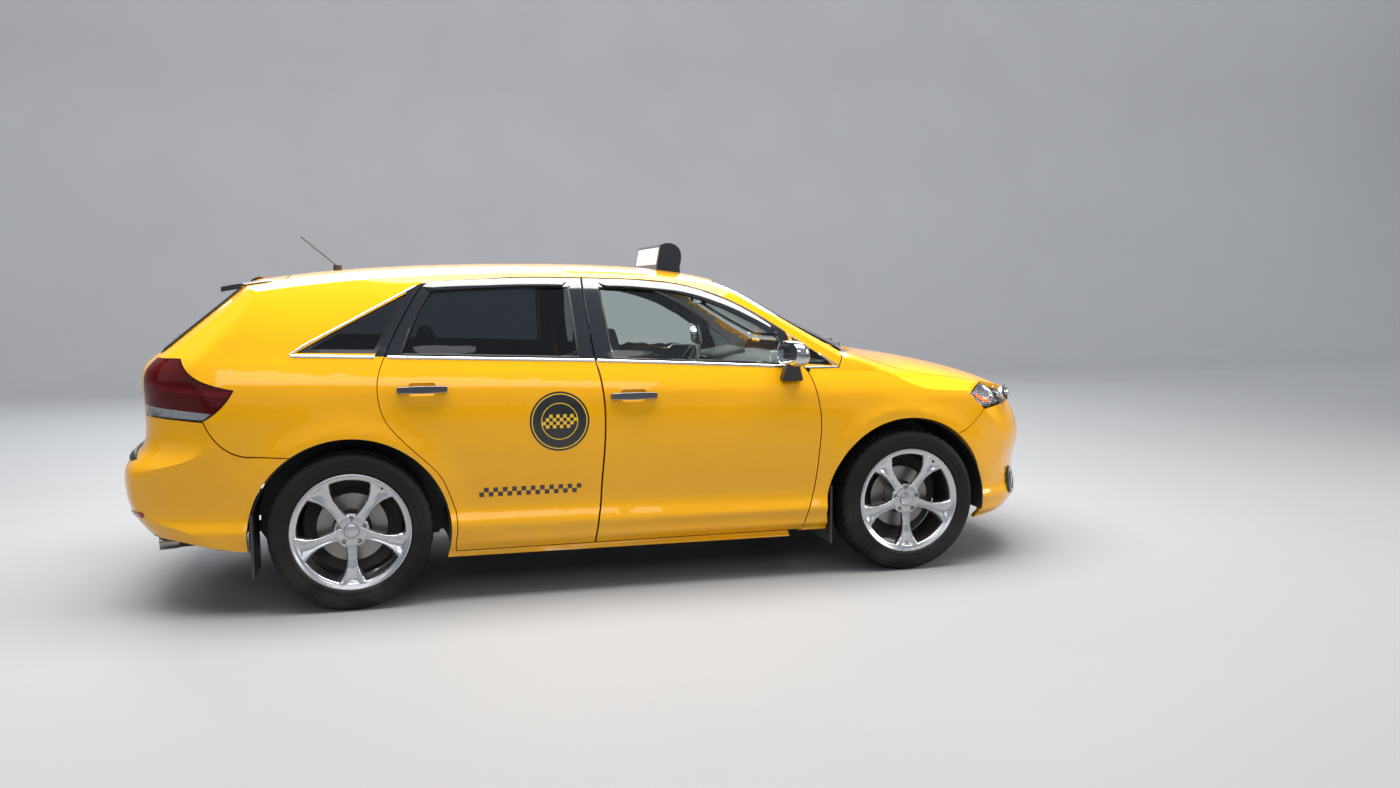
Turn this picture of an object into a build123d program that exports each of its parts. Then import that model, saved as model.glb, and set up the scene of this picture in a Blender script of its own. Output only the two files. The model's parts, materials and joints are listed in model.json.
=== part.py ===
from build123d import *
import os
from copy import deepcopy

import numpy as np

# Five-door crossover taxi cab, as an assembly of body panels, glass, doors, wheels and running gear.
# Millimetres, +X towards the nose, +Y to the car's left, +Z up. The origin is on the ground under the
# middle of the car's length and width. The painted body is a few smooth skins: one side (mirrored for
# the other), the roof with the windscreen, the bonnet, the nose and the tail. Each panel is a stretch
# of one skin, as thick as the real panel, cut along the real shut lines.
os.makedirs("parts", exist_ok=True)

# Driving dimensions: 4.80 m long, 1.90 m wide without the mirrors
WHEELBASE = 2775.0
FRONT_AXLE_X = 1445.0
REAR_AXLE_X = FRONT_AXLE_X - WHEELBASE
TRACK_HALF = 817.0
TYRE_R = 370.0
TYRE_W = 245.0
RIM_R = 271.0
AXLE_Z = TYRE_R
ARCH_R = 452.0
ARCH_Z = 352.0
SILL_Z = 240.0
GAP = 5.0
DOOR_T = 110.0
FRAME_T = 45.0
PANEL_T = 38.0
NOSE_X = 2402.1
TAIL_X = -2400.8


def natural(table, t):
    """Natural cubic curve through a table of (t, value) rows."""
    ts = np.array([row[0] for row in table], float)
    vs = np.array([row[1] for row in table], float)
    n = len(ts)
    h = np.diff(ts)
    m = np.zeros((n, n))
    r = np.zeros(n)
    m[0, 0] = m[-1, -1] = 1.0
    for i in range(1, n - 1):
        m[i, i - 1 : i + 2] = h[i - 1], 2 * (h[i - 1] + h[i]), h[i]
        r[i] = 6 * ((vs[i + 1] - vs[i]) / h[i] - (vs[i] - vs[i - 1]) / h[i - 1])
    bend = np.linalg.solve(m, r)
    i = int(np.clip(np.searchsorted(ts, t) - 1, 0, n - 2))
    a, b = ts[i + 1] - t, t - ts[i]
    slope_free = (vs[i] / h[i] - bend[i] * h[i] / 6) * a + (vs[i + 1] / h[i] - bend[i + 1] * h[i] / 6) * b
    return (bend[i] * a**3 + bend[i + 1] * b**3) / (6 * h[i]) + slope_free


def soft(table, t, radius):
    """Straight rows of (t, value), with each corner rounded over about radius."""
    ts = [row[0] for row in table]
    vs = [row[1] for row in table]
    steps = np.linspace(-1.5, 1.5, 13)
    weights = np.exp(-0.5 * (steps * 1.6) ** 2)
    return float(np.dot(np.interp(t + steps * radius, ts, vs), weights) / weights.sum())


def smoothstep(low, high, t):
    s = float(np.clip((t - low) / (high - low), 0, 1))
    return s * s * (3 - 2 * s)


# Side skin: half width of the body at each place along X, at its widest height (x, half width)
PLAN = [
    (-2480, 500), (-2380, 615), (-2300, 695), (-2230, 758), (-2150, 813), (-2050, 860), (-1900, 902),
    (-1700, 930), (-1400, 939), (-900, 939), (0, 939), (900, 940), (1400, 941), (1600, 935),
    (1750, 916), (1900, 880), (2000, 840), (2090, 783), (2150, 730), (2300, 570), (2480, 370),
]
# Section of the side below the window line: share of the height from sill to belt, offset from PLAN
BODY_SECTION = [
    (-0.05, -82), (0.0, -52), (0.06, -24), (0.15, -12), (0.168, -14), (0.20, -31), (0.26, -30),
    (0.40, -14), (0.55, -3), (0.70, 0), (0.80, -3), (0.865, -9), (0.90, -19), (0.96, -38), (1.0, -54),
]
# Section of the side above the window line: height above the belt, offset from PLAN
GLASS_SECTION = [
    (0, -54), (60, -72), (130, -97), (200, -127), (270, -162), (340, -203), (395, -243), (430, -280),
    (455, -318), (475, -362), (520, -470),
]
FLARE = 12.0
FLARE_R = ARCH_R + 12
FLARE_SPREAD = 62.0


def belt(x):
    """Height of the window line at x."""
    return 1122 - 0.0475 * x - 5.8e-6 * x * x


def side_y(x, z):
    """Half width of the body at x and z."""
    width = natural(PLAN, x)
    height = belt(x)
    if z <= height:
        offset = soft(BODY_SECTION, (z - SILL_Z) / (height - SILL_Z), 0.018)
    else:
        lean = 1 + 0.10 * smoothstep(-900, -1900, x)
        offset = natural(GLASS_SECTION, z - height)
        offset = -54 + (offset + 54) * lean
    for axle in (FRONT_AXLE_X, REAR_AXLE_X):
        r = np.hypot(x - axle, z - ARCH_Z)
        swell = 1.0 if r < FLARE_R else np.exp(-(((r - FLARE_R) / FLARE_SPREAD) ** 2))
        offset += FLARE * swell * smoothstep(250, 420, z)
    return width + offset


# Roof skin: centreline of windscreen and roof (x, z)
ROOF_LINE = [
    (-2480, 1380), (-2250, 1440), (-2000, 1494), (-1850, 1524), (-1700, 1547), (-1500, 1571),
    (-1300, 1588), (-1000, 1604),
    (-700, 1611), (-400, 1612), (-200, 1609), (0, 1602), (200, 1588), (400, 1562), (605, 1512),
    (772, 1422 + 8), (972, 1318), (1100, 1255), (1297, 1158), (1450, 1080), (1600, 1003),
]


def roof_z(x, y):
    """Height of the windscreen and roof."""
    sweep = 100 * smoothstep(0, 700, x) * (y / 760) ** 2
    crown = (38 - 26 * smoothstep(200, 900, x)) * (y / 650) ** 2
    crown += 10 * abs(y / 650) ** 6
    return natural(ROOF_LINE, x + sweep) - crown


# Bonnet skin: centreline (x, z), and the fall from the centreline at each half width (y, fall)
BONNET_LINE = [
    (800, 1205), (1150, 1172), (1290, 1150), (1428, 1127), (1577, 1104), (1718, 1080), (1858, 1051),
    (1984, 1020), (2100, 982), (2190, 942), (2250, 907), (2310, 862), (2380, 795), (2480, 680),
]
BONNET_FALL = [
    (0, 0), (200, 4), (400, 17), (550, 33), (680, 54), (790, 84), (860, 116), (910, 150), (960, 200),
    (1000, 255),
]


def bonnet_z(x, y):
    """Height of the bonnet and wing tops."""
    flat = 0.45 + 0.55 * smoothstep(1080, 1560, x)
    return natural(BONNET_LINE, x) - flat * natural(BONNET_FALL, abs(y))


# Nose skin: how far back the centreline is at each height, and each half width (value, setback)
NOSE_LINE = [
    (180, 130), (230, 95), (280, 45), (330, 14), (380, 16), (440, 32), (500, 34), (560, 20),
    (620, 4), (680, 4), (740, 22), (800, 50), (860, 92), (920, 148), (980, 220), (1060, 330),
]
NOSE_PLAN = [
    (0, 0), (200, 9), (400, 46), (550, 113), (650, 185), (745, 272), (850, 395), (960, 535), (1000, 590),
]


def nose_x(y, z):
    return NOSE_X - natural(NOSE_LINE, z) - natural(NOSE_PLAN, abs(y))


# Tail skin: how far forward the centreline is at each height, and each half width (value, setback)
TAIL_LINE = [
    (160, 330), (230, 235), (300, 150), (370, 82), (430, 38), (500, 10), (580, 0), (640, 2),
    (680, 18), (730, 70), (770, 98), (850, 106), (950, 102), (1040, 96), (1090, 98), (1130, 112),
    (1165, 148), (1210, 205), (1300, 318), (1400, 443), (1500, 568), (1600, 693),
]
TAIL_PLAN = [
    (0, 0), (200, 4), (400, 20), (600, 62), (690, 108), (760, 172), (820, 250), (880, 345), (960, 490),
    (1000, 565),
]


def tail_x(y, z):
    return TAIL_X + soft(TAIL_LINE, z, 22) + natural(TAIL_PLAN, abs(y))


def skin(across, along, point):
    """A smooth face through a grid of points on the body."""
    rows = [[Vector(*point(a, b)) for b in along] for a in across]
    return Face.make_surface_from_array_of_points(rows, tol=0.6)


SIDE_SKIN = skin(np.linspace(-2480, 2480, 63), np.linspace(196, 1612, 42), lambda x, z: (x, -side_y(x, z), z))
ACROSS = (-1000, 1000)
ROOF_SKIN = skin(np.linspace(-2480, 1600, 44), np.linspace(*ACROSS, 17), lambda x, y: (x, y, roof_z(x, y)))
BONNET_SKIN = skin(np.linspace(850, 2480, 26), np.linspace(*ACROSS, 21), lambda x, y: (x, y, bonnet_z(x, y)))
NOSE_SKIN = skin(np.linspace(-1000, 1000, 25), np.linspace(185, 1050, 30), lambda y, z: (nose_x(y, z), y, z))
TAIL_SKIN = skin(np.linspace(-1000, 1000, 25), np.linspace(165, 1600, 46), lambda y, z: (tail_x(y, z), y, z))


def wall(face, inward, near, far):
    """The stretch of a skin's wall between two depths along its inward direction."""
    direction = Vector(*inward)
    start = deepcopy(face).moved(Location(direction * near))
    return Solid.extrude(start, direction * (far - near))


def side_wall(near, far):
    return wall(SIDE_SKIN, (0, 1, 0), near, far)


def roof_wall(near, far):
    return wall(ROOF_SKIN, (0, 0, -1), near, far)


def bonnet_wall(near, far):
    return wall(BONNET_SKIN, (0, 0, -1), near, far)


def nose_wall(near, far):
    return wall(NOSE_SKIN, (-1, 0, 0), near, far)


def tail_wall(near, far):
    return wall(TAIL_SKIN, (1, 0, 0), near, far)




# Loops are lists of runs. A run of one point is a straight line to the next run's start, and a
# longer run is a smooth curve through its points to the next run's start.
def grow(runs, distance):
    """The same loop, moved outwards by distance (inwards when it is negative)."""
    flat = np.array([p for run in runs for p in run], float)
    ahead = np.roll(flat, -1, axis=0)
    turn = np.sign(np.sum(flat[:, 0] * ahead[:, 1] - ahead[:, 0] * flat[:, 1]))
    out = ahead - flat
    out /= np.linalg.norm(out, axis=1)[:, None]
    normal_out = np.stack([out[:, 1], -out[:, 0]], axis=1) * turn
    normal_in = np.roll(normal_out, 1, axis=0)
    share = 1 + np.sum(normal_in * normal_out, axis=1)
    moved = flat + distance * (normal_in + normal_out) / share[:, None]
    grown, start = [], 0
    for run in runs:
        grown.append([tuple(p) for p in moved[start : start + len(run)]])
        start += len(run)
    return grown


def swept_loop(runs, place, travel):
    """A prism: the loop's points are placed in space by place(a, b), then swept along travel."""
    edges = []
    for run, following in zip(runs, runs[1:] + runs[:1]):
        points = [Vector(*place(*p)) for p in [*run, following[0]]]
        edges.append(Edge.make_line(*points) if len(points) == 2 else Edge.make_spline(points))
    return Solid.extrude(Face(Wire(edges)), Vector(*travel))


SIDE_LEAN = 0.32
SIDE_REF = 1000.0


def side_cut(runs, lean=SIDE_LEAN, reach=650.0):
    """A prism through the right side, from a loop of (x, z) points that lie on the side skin."""

    def place(x, z):
        return x - lean * (SIDE_REF - side_y(x, z)), -SIDE_REF, z

    return swept_loop(runs, place, (lean * reach, reach, 0))


def side_view_cut(runs, y_from=-SIDE_REF, y_to=SIDE_REF):
    """A prism across the car from a loop of (x, z) points."""
    return swept_loop(runs, lambda x, z: (x, y_from, z), (0, y_to - y_from, 0))


def plan_cut(runs, lean=0.0, top=1700.0, depth=1500.0, skin_z=None):
    """A prism down through the car from a loop of (x, y) points on a top skin."""

    def place(x, y):
        drop = top - skin_z(x, y) if skin_z else 0.0
        return x + lean * drop, y, top

    return swept_loop(runs, place, (-lean * depth, 0, -depth))


def rear_view_cut(runs, lean=0.0, reach=1000.0):
    """A prism forwards through the tail from a loop of (y, z) points on its right half."""

    def place(y, z):
        return TAIL_X - 50, y - lean * (tail_x(y, z) - TAIL_X + 50), z

    return swept_loop(runs, place, (reach, lean * reach, 0))


def left_of(shape):
    """The same piece on the car's other side."""
    return shape.mirror(Plane.XZ)


def symmetric(front, side, rear):
    """A loop of (x, y) from its right half: front from the centreline to the corner, the points
    between the corners, and rear from the corner to the centreline."""
    other_front = [(x, -y) for x, y in front[:0:-1]]
    other_rear = [(x, -y) for x, y in rear[-2::-1]]
    other_side = [(x, -y) for x, y in side[::-1]]
    return [
        [*other_front, *front[:-1]],
        [front[-1], *side],
        [*rear, *other_rear[:-1]],
        [other_rear[-1], *other_side],
    ]


def block(x_from, x_to, y_from, y_to, z_from, z_to):
    size = (x_to - x_from, y_to - y_from, z_to - z_from)
    return Pos((x_from + x_to) / 2, (y_from + y_to) / 2, (z_from + z_to) / 2) * Box(*size)


def rod(start, end, radius):
    """A round bar between two points."""
    a, b = Vector(*start), Vector(*end)
    from_end = (Align.CENTER, Align.CENTER, Align.MIN)
    return Plane(origin=a, z_dir=b - a) * Cylinder(radius, (b - a).length, align=from_end)


def arch_round(axle_x, radius, y_from, y_to, z=ARCH_Z):
    """A cylinder across the car about a wheel arch's centre."""
    return rod((axle_x, y_from, z), (axle_x, y_to, z), radius)


def biggest(shape):
    """The largest solid of a cut, without slivers."""
    return max(shape.solids(), key=lambda s: s.volume)


PARTS = {}


def keep(name, *shapes):
    """Keep a node: one or more solids."""
    solids = [s for shape in shapes for s in shape.solids() if s.volume > 100]
    PARTS[name] = solids[0] if len(solids) == 1 else Compound(children=solids)
    return PARTS[name]


# Shut lines on the side, as loops of (x, z) on the skin
FRONT_DOOR = [
    [(-192, SILL_Z + 4), (-177, 365), (-161, 499), (-146, 700), (-141, 898), (-156, 1040)],
    [(-178, 1130)],
    [(-212, 1528), (-60, 1524), (101, 1516), (276, 1494), (481, 1432), (645, 1349)],
    [(796, 1252)],
    [(873, 1081), (916, 1008), (941, 907), (955, 800), (949, 679), (932, 500), (897, 363)],
    [(866, SILL_Z + 4)],
]
REAR_DOOR = [
    [(-201, SILL_Z + 4)],
    [(-858, SILL_Z + 4)],
    [(-856, 300), (-851, 397), (-874, 500), (-914, 600), (-1001, 700), (-1100, 800), (-1166, 890),
     (-1191, 998), (-1183, 1098)],
    [(-1155, 1172), (-1120, 1250), (-1052, 1380)],
    [(-975, 1502), (-860, 1512), (-746, 1520), (-507, 1532), (-350, 1531)],
    [(-221, 1528)],
    [(-187, 1130), (-165, 1040), (-150, 898), (-155, 700), (-170, 499), (-186, 365)],
]
FRONT_WINDOW = [
    [(-98, 1141)],
    [(-138, 1484), (-20, 1480), (101, 1472), (265, 1452), (440, 1398), (600, 1322)],
    [(748, 1232)],
    [(792, 1098)],
]
REAR_WINDOW = [
    [(-262, 1150)],
    [(-1085, 1181)],
    [(-1040, 1300), (-985, 1410)],
    [(-945, 1462), (-840, 1474), (-720, 1482), (-507, 1488)],
    [(-288, 1486)],
]
QUARTER_WINDOW = [
    [(-1545, 1196), (-1470, 1238), (-1304, 1328), (-1150, 1410)],
    [(-1052, 1462), (-1075, 1420), (-1130, 1310)],
    [(-1196, 1186)],
]
FRONT_QUARTER_WINDOW = [
    [(1040, 1080)],
    [(888, 1090)],
    [(826, 1226), (930, 1165)],
]
# Door apertures inside the flange that the doors close on
FRONT_APERTURE = [
    [(-60, 440)],
    [(-76, 1120)],
    [(-116, 1478), (101, 1466), (265, 1440), (440, 1388), (600, 1308)],
    [(742, 1215)],
    [(790, 1070), (830, 900), (850, 740), (840, 560)],
    [(800, 440)],
]
REAR_APERTURE = [
    [(-290, 440)],
    [(-800, 440)],
    [(-815, 520), (-850, 640), (-940, 740), (-1040, 850), (-1105, 960), (-1115, 1060)],
    [(-1095, 1150), (-1020, 1310)],
    [(-935, 1456), (-720, 1478), (-507, 1484)],
    [(-310, 1482)],
    [(-272, 1120)],
]
TAIL_LAMP = [
    [(-1806, 1036), (-1870, 950)],
    [(-1946, 896), (-2080, 902)],
    [(-2400, 918)],
    [(-2400, 1172)],
    [(-2040, 1176), (-1985, 1100), (-1920, 1066)],
]
REAR_BUMPER = [
    [(-1560, 724)],
    [(-1735, 733), (-1830, 753), (-1885, 795), (-1925, 850)],
    [(-1946, 893), (-2080, 901)],
    [(-2450, 919)],
    [(-2450, 362)],
    [(-2100, 345)],
    [(-1814, 300)],
    [(-1560, 290)],
]
WING = [
    [(835, SILL_Z - 4)],
    [(835, 1068)],
    [(1070, 1066)],
    [(1118, 1166)],
    [(1118, 1300)],
    [(2150, 1300)],
    [(2150, 850)],
    [(1896, 836), (1860, 795)],
    [(1753, 722)],
    [(1700, 707)],
    [(1700, SILL_Z - 4)],
]
HEADLAMP = [
    [(1806, 914)],
    [(1896, 832), (2080, 838)],
    [(2400, 842)],
    [(2400, 960)],
    [(2120, 965), (1960, 962)],
]
FRONT_BUMPER = [
    [(1600, 226)],
    [(1600, 700)],
    [(1749, 714), (1860, 788)],
    [(1896, 826), (2080, 832)],
    [(2500, 842)],
    [(2500, 262)],
    [(2060, 262)],
    [(1880, 232)],
]
# Seam between the body side and the roof and windscreen, and the edges that cross it, as (x, y)
ROOF_REAR = [(-1605, -577), (-1605, 0)]
ROOF_SEAM = [(-900, -577), (-200, -578), (100, -580), (300, -590)]
HEADER = [(556, 0), (540, -320), (470, -612)]
SCREEN_SEAM = [(600, -640), (800, -682), (1000, -715)]
SCREEN_FOOT = [(1302, 0), (1286, -250), (1226, -500), (1128, -730)]
# Bonnet edge, as (x, y)
BONNET_REAR = [(1172, -706), (1268, -560), (1332, -300), (1347, 0)]
BONNET_SIDE = [(2050, -694), (1900, -745), (1700, -785), (1500, -795), (1380, -785), (1250, -752)]
BONNET_FRONT = [(2287, 0), (2283, -120), (2268, -300), (2220, -500), (2150, -622)]


def set_forward(points, distance):
    return [(x + distance, y) for x, y in points]


BONNET = symmetric(BONNET_FRONT, BONNET_SIDE, BONNET_REAR)
ROOF = symmetric(HEADER, ROOF_SEAM[::-1], ROOF_REAR)
SCREEN = symmetric(SCREEN_FOOT, SCREEN_SEAM[::-1], set_forward(HEADER[::-1], 4))
COWL = symmetric(
    set_forward(BONNET_REAR[::-1], -GAP - 12), [], [(1144, -706), *set_forward(SCREEN_FOOT[-2::-1], 4)]
)



BONNET_LEAN = 0.35
TAILGATE_LEAN = 0.16
DOOR_SHELL_T = 55.0
# Window frames of the doors start at this line, 6 mm above the door's inner panel
ABOVE_BELT = [
    [(-1300, 1174), (-180, 1134), (0, 1126), (1100, 1066)],
    [(1200, 1060)],
    [(1200, 1700)],
    [(-1300, 1700)],
]
FRONT_TRIM = [
    [(-52, 450)],
    [(-68, 1112)],
    [(500, 1088), (780, 1062)],
    [(822, 900), (842, 740), (832, 560)],
    [(786, 450)],
]
REAR_TRIM = [
    [(-300, 450)],
    [(-790, 450)],
    [(-806, 520), (-842, 640), (-932, 740), (-1032, 850), (-1096, 960), (-1106, 1060)],
    [(-1092, 1150)],
    [(-282, 1118)],
]
BODY_SIDE = [
    [(-1560, 100)],
    [(-1560, 727)],
    [(-1735, 738), (-1828, 758), (-1881, 798), (-1921, 852)],
    [(-1943, 898)],
    [(-2600, 950)],
    [(-2600, 1700)],
    [(1114, 1700)],
    [(1114, 1170)],
    [(1066, 1071)],
    [(880, 1074)],
    [(925, 1010), (951, 907), (965, 800), (959, 679), (942, 500), (907, 363)],
    [(875, SILL_Z - 25)],
    [(-1000, SILL_Z - 25)],
    [(-1000, 100)],
]
# Everything inboard of the seam beside the roof and the windscreen, as (x, y)
INBOARD = [
    [(-1815, -577)],
    [*ROOF_SEAM, HEADER[-1], *SCREEN_SEAM, SCREEN_FOOT[-1]],
    [(1250, -764)],
    [(1250, 100)],
    [(-1815, 100)],
]
# Tailgate edge and rear glass, right half, as (y, z); they pass the centreline a little
TAILGATE = [
    [(100, 742)],
    [(-560, 742)],
    [(-600, 900), (-622, 1060)],
    [(-626, 1172)],
    [(-570, 1500)],
    [(-556, 1600)],
    [(100, 1640)],
]
REAR_GLASS = [
    [(30, 1176)],
    [(-400, 1178)],
    [(-566, 1192)],
    [(-516, 1476)],
    [(30, 1486)],
]
# Grille and lower intake of the front bumper, as (y, z)
UPPER_GRILLE = [[(-430, 700), (-466, 770)], [(-454, 838)], [(454, 838), (466, 770)], [(430, 700)]]
LOWER_GRILLE = [[(-520, 330)], [(-470, 470)], [(470, 470)], [(520, 330)]]


def front_view_cut(runs, x_from=2000.0, x_to=2500.0):
    return swept_loop(runs, lambda y, z: (x_from, y, z), (x_to - x_from, 0, 0))


# Whole body, as solids between the skins, for the outside and for the inside of the panels
def full_width(depth):
    right = side_wall(depth, 1900)
    return right & left_of(right)


FRONT_ZONE = block(860, 2600, -1100, 1100, 100, 1400)
REAR_ZONE = block(-2600, -1180, -1100, 1100, 100, 1700)
outer_hull = full_width(0)
inner_hull = full_width(PANEL_T)
front_body = (outer_hull & FRONT_ZONE) & bonnet_wall(0, 1300) & nose_wall(0, 2500)
front_hollow = (inner_hull & FRONT_ZONE) & bonnet_wall(PANEL_T, 1300) & nose_wall(PANEL_T + 4, 2500)
tail_body = (outer_hull & REAR_ZONE) & tail_wall(0, 2500)
tail_hollow = (inner_hull & REAR_ZONE) & tail_wall(PANEL_T, 2500)
front_shell = front_body - front_hollow
tail_shell = tail_body - tail_hollow
front_arch = arch_round(FRONT_AXLE_X, ARCH_R, -1000, 1000)
rear_arch = arch_round(REAR_AXLE_X, ARCH_R, -1000, 1000)

# Bonnet: one pressed panel with its frame, hinged behind
bonnet_slot = plan_cut(grow(BONNET, GAP), lean=BONNET_LEAN, skin_z=bonnet_z)
keep("bonnet", bonnet_wall(0, 26) & plan_cut(BONNET, lean=BONNET_LEAN, skin_z=bonnet_z))

# Front wings and headlamps

headlamp_zone = side_view_cut(HEADLAMP, -SIDE_REF, -500)
headlamp = biggest((front_shell & headlamp_zone) - bonnet_slot)
wing = (front_shell & side_cut(WING, lean=0.0, reach=560)) - bonnet_slot - front_arch
wing = wing - side_cut(grow(FRONT_DOOR, GAP), reach=700)
wing = biggest(wing - side_view_cut(grow(HEADLAMP, 3), -SIDE_REF, -480))
keep("front_wing_right", wing)
keep("front_wing_left", left_of(wing))
keep("headlamps", headlamp, left_of(headlamp))

# Front bumper cover, with the grille and the lower intake set in its openings
bumper = (front_shell & side_view_cut(FRONT_BUMPER)) - front_arch - bonnet_slot
bumper = bumper - front_view_cut(UPPER_GRILLE) - front_view_cut(LOWER_GRILLE)
keep("front_bumper", biggest(bumper))
mesh_sheet = nose_wall(14, 30)
upper = mesh_sheet & front_view_cut(grow(UPPER_GRILLE, -1))
lower = mesh_sheet & front_view_cut(grow(LOWER_GRILLE, -1))
keep("grille", biggest(upper), biggest(lower))

# Roof, windscreen and cowl
keep("roof", roof_wall(0, 26) & plan_cut(ROOF))
keep("windscreen", roof_wall(3, 9) & plan_cut(SCREEN))
keep("cowl", bonnet_wall(8, 34) & plan_cut(COWL))

# Body sides: rear quarter, roof rail, windscreen pillar, door pillars and sill in one pressing
rebate = DOOR_SHELL_T + GAP
side_zone = side_view_cut(BODY_SIDE, -SIDE_REF, -300)
skin_layer = side_wall(0, rebate + 1) & side_zone
for outline in (FRONT_DOOR, REAR_DOOR):
    skin_layer = skin_layer - side_cut(grow(outline, GAP))
skin_layer = skin_layer - block(800, 1000, -1000, -300, 100, 1068)
frame_layer = side_wall(rebate, DOOR_T) & side_zone
for opening in (FRONT_APERTURE, REAR_APERTURE):
    frame_layer = frame_layer - side_cut(opening)
side_panel = (skin_layer + frame_layer) & roof_wall(0, 1500) & tail_wall(0, 3800)
# Flange under the roof's edge, and the corner that turns in beside the tailgate
rail_flange = (roof_wall(0, 24) & side_wall(20, 420)) & side_zone & block(-2300, 500, -1000, -500, 1300, 1700)
for outline in (FRONT_DOOR, REAR_DOOR):
    rail_flange = rail_flange - side_cut(grow(outline, GAP))
rail_flange = rail_flange & tail_wall(0, 3800)
corner = (tail_shell & side_zone) & roof_wall(0, 1500) & block(-2600, -1600, -1000, -300, 700, 1700)
side_panel = side_panel + rail_flange + corner
side_panel = side_panel - plan_cut([[(x, y - 4) for x, y in run] for run in INBOARD], depth=700)
for window in (QUARTER_WINDOW, FRONT_QUARTER_WINDOW):
    side_panel = side_panel - side_cut(window, lean=0.0)
side_panel = side_panel - rear_arch - side_view_cut(TAIL_LAMP, -SIDE_REF, -300)
gate_slot = rear_view_cut(grow(TAILGATE, GAP), lean=TAILGATE_LEAN)
side_panel = side_panel - gate_slot
side_panel = biggest(side_panel)
keep("body_side_right", side_panel)
keep("body_side_left", left_of(side_panel))
quarter = side_wall(8, 13) & side_cut(grow(QUARTER_WINDOW, -0.4), lean=0.0)
front_quarter = side_wall(8, 13) & side_cut(grow(FRONT_QUARTER_WINDOW, -0.4), lean=0.0)
keep("quarter_glasses", quarter, front_quarter, left_of(quarter), left_of(front_quarter))
print("sides built")

# Tail: lamps, bumper, tailgate with its glass and spoiler
lamp = tail_shell & side_view_cut(grow(TAIL_LAMP, -2), -SIDE_REF, -300)
lamp = biggest(lamp - gate_slot)
keep("tail_lamps", lamp, left_of(lamp))
rear_bumper = (tail_shell & side_view_cut(grow(REAR_BUMPER, -1.5))) - rear_arch
rear_bumper = rear_bumper - gate_slot - left_of(gate_slot)
keep("rear_bumper", biggest(rear_bumper))

gate_tool = rear_view_cut(TAILGATE, lean=TAILGATE_LEAN)
gate_tool = gate_tool + left_of(gate_tool)
GATE_FRONT_X = ROOF_REAR[0][0] - GAP
gate_wall = tail_wall(0, 40) & roof_wall(0, 1500) & block(-2500, GATE_FRONT_X, -800, 800, 700, 1700)
glass_tool = rear_view_cut(REAR_GLASS)
glass_tool = glass_tool + left_of(glass_tool)
gate_top = roof_wall(0, 26) & block(-1806, GATE_FRONT_X, -572, 572, 1400, 1700)
gate = (gate_wall & gate_tool) + gate_top
keep("tailgate", biggest(gate - glass_tool))
pane_tool = rear_view_cut(grow(REAR_GLASS, -0.4))
keep("tailgate_glass", biggest(tail_wall(4, 9) & (pane_tool + left_of(pane_tool))))
spoiler_root = roof_wall(-12, -0.4) & block(-1812, GATE_FRONT_X - 4, -560, 560, 1400, 1700)
spoiler_lip = roof_wall(-12, 12) & block(-1894, -1808, -560, 560, 1400, 1700)
spoiler = biggest((spoiler_root + spoiler_lip) - tail_wall(-0.4, 400))
keep("spoiler", spoiler)
print("tail built")

def moulded(length, width, height, radius):
    """A block with every edge rounded."""
    blank = Box(length, width, height)
    return fillet(blank.edges(), radius)


# Doors: outer shell, inner trim and glass; the window frame is thinner than the door
HANDLES = {"front": (-5, 962), "rear": (-995, 1020)}
CUP = (124, 34, 60, 16)
DOORS = {"front": (FRONT_DOOR, FRONT_WINDOW, FRONT_TRIM), "rear": (REAR_DOOR, REAR_WINDOW, REAR_TRIM)}
shell_wall = side_wall(0, DOOR_SHELL_T)
trim_wall = side_wall(DOOR_SHELL_T - 2, DOOR_T)
frame_space = side_wall(FRAME_T, DOOR_T + 20)
glass_wall = side_wall(9, 14)
for place, (outline, window, trim) in DOORS.items():
    door = shell_wall & side_cut(outline)
    door = door - (frame_space & side_view_cut(ABOVE_BELT, -SIDE_REF, -300))
    door = door + (trim_wall & side_cut(trim))
    door = biggest(door - side_cut(window))
    cup_x, cup_z = HANDLES[place]
    door = door - Pos(cup_x, -side_y(cup_x, cup_z), cup_z) * moulded(*CUP)
    glass = biggest(glass_wall & side_cut(grow(window, -0.4)))
    for hand, turn in (("right", lambda s: s), ("left", left_of)):
        keep(f"door_{place}_{hand}", turn(door))
        keep(f"door_glass_{place}_{hand}", turn(glass))
print("doors built")

# Wheels: alloy rim with five spokes, hub and brake disc, and a tyre on it
SIDES = {"right": -1, "left": 1}
AXLES = {"front": FRONT_AXLE_X, "rear": REAR_AXLE_X}
SPOKES = 5
# Rim, dish and hub in one section, round from the inner flange, as (distance outwards, radius)
RIM_SECTION = [
    (-118, RIM_R), (-108, RIM_R), (-104, 260), (-60, 256), (40, 251), (92, 257), (100, 264), (108, RIM_R),
    (116, RIM_R), (116, 262), (109, 252), (104, 240), (97, 190), (88, 120), (80, 84), (72, 62), (72, 34),
    (76, 0),
    (26, 0), (26, 80), (44, 116), (58, 180), (66, 228), (58, 242), (-58, 247), (-112, 251), (-118, 258),
]
DISC_SECTION = [(-46, 0), (28, 0), (28, 66), (0, 88), (-14, 88), (-14, 160), (-42, 160), (-42, 88), (-46, 84)]
# Half width of a spoke at each radius; it flares towards the rim
SPOKE_WIDTHS = [(33, 86), (28, 100), (26, 130), (30, 165), (41, 198), (56, 224), (70, 238)]
WINDOW_TOP_R = 241.0
LUG_R, LUG_PITCH_R, LUG_DEPTH = 11.5, 57.0, 16.0
# Tyre section, as (distance outwards, radius)
TYRE_SECTION = [(-104, 276), (-TYRE_W / 2, 326), (-104, TYRE_R), (104, TYRE_R), (TYRE_W / 2, 326), (104, 276)]


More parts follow.
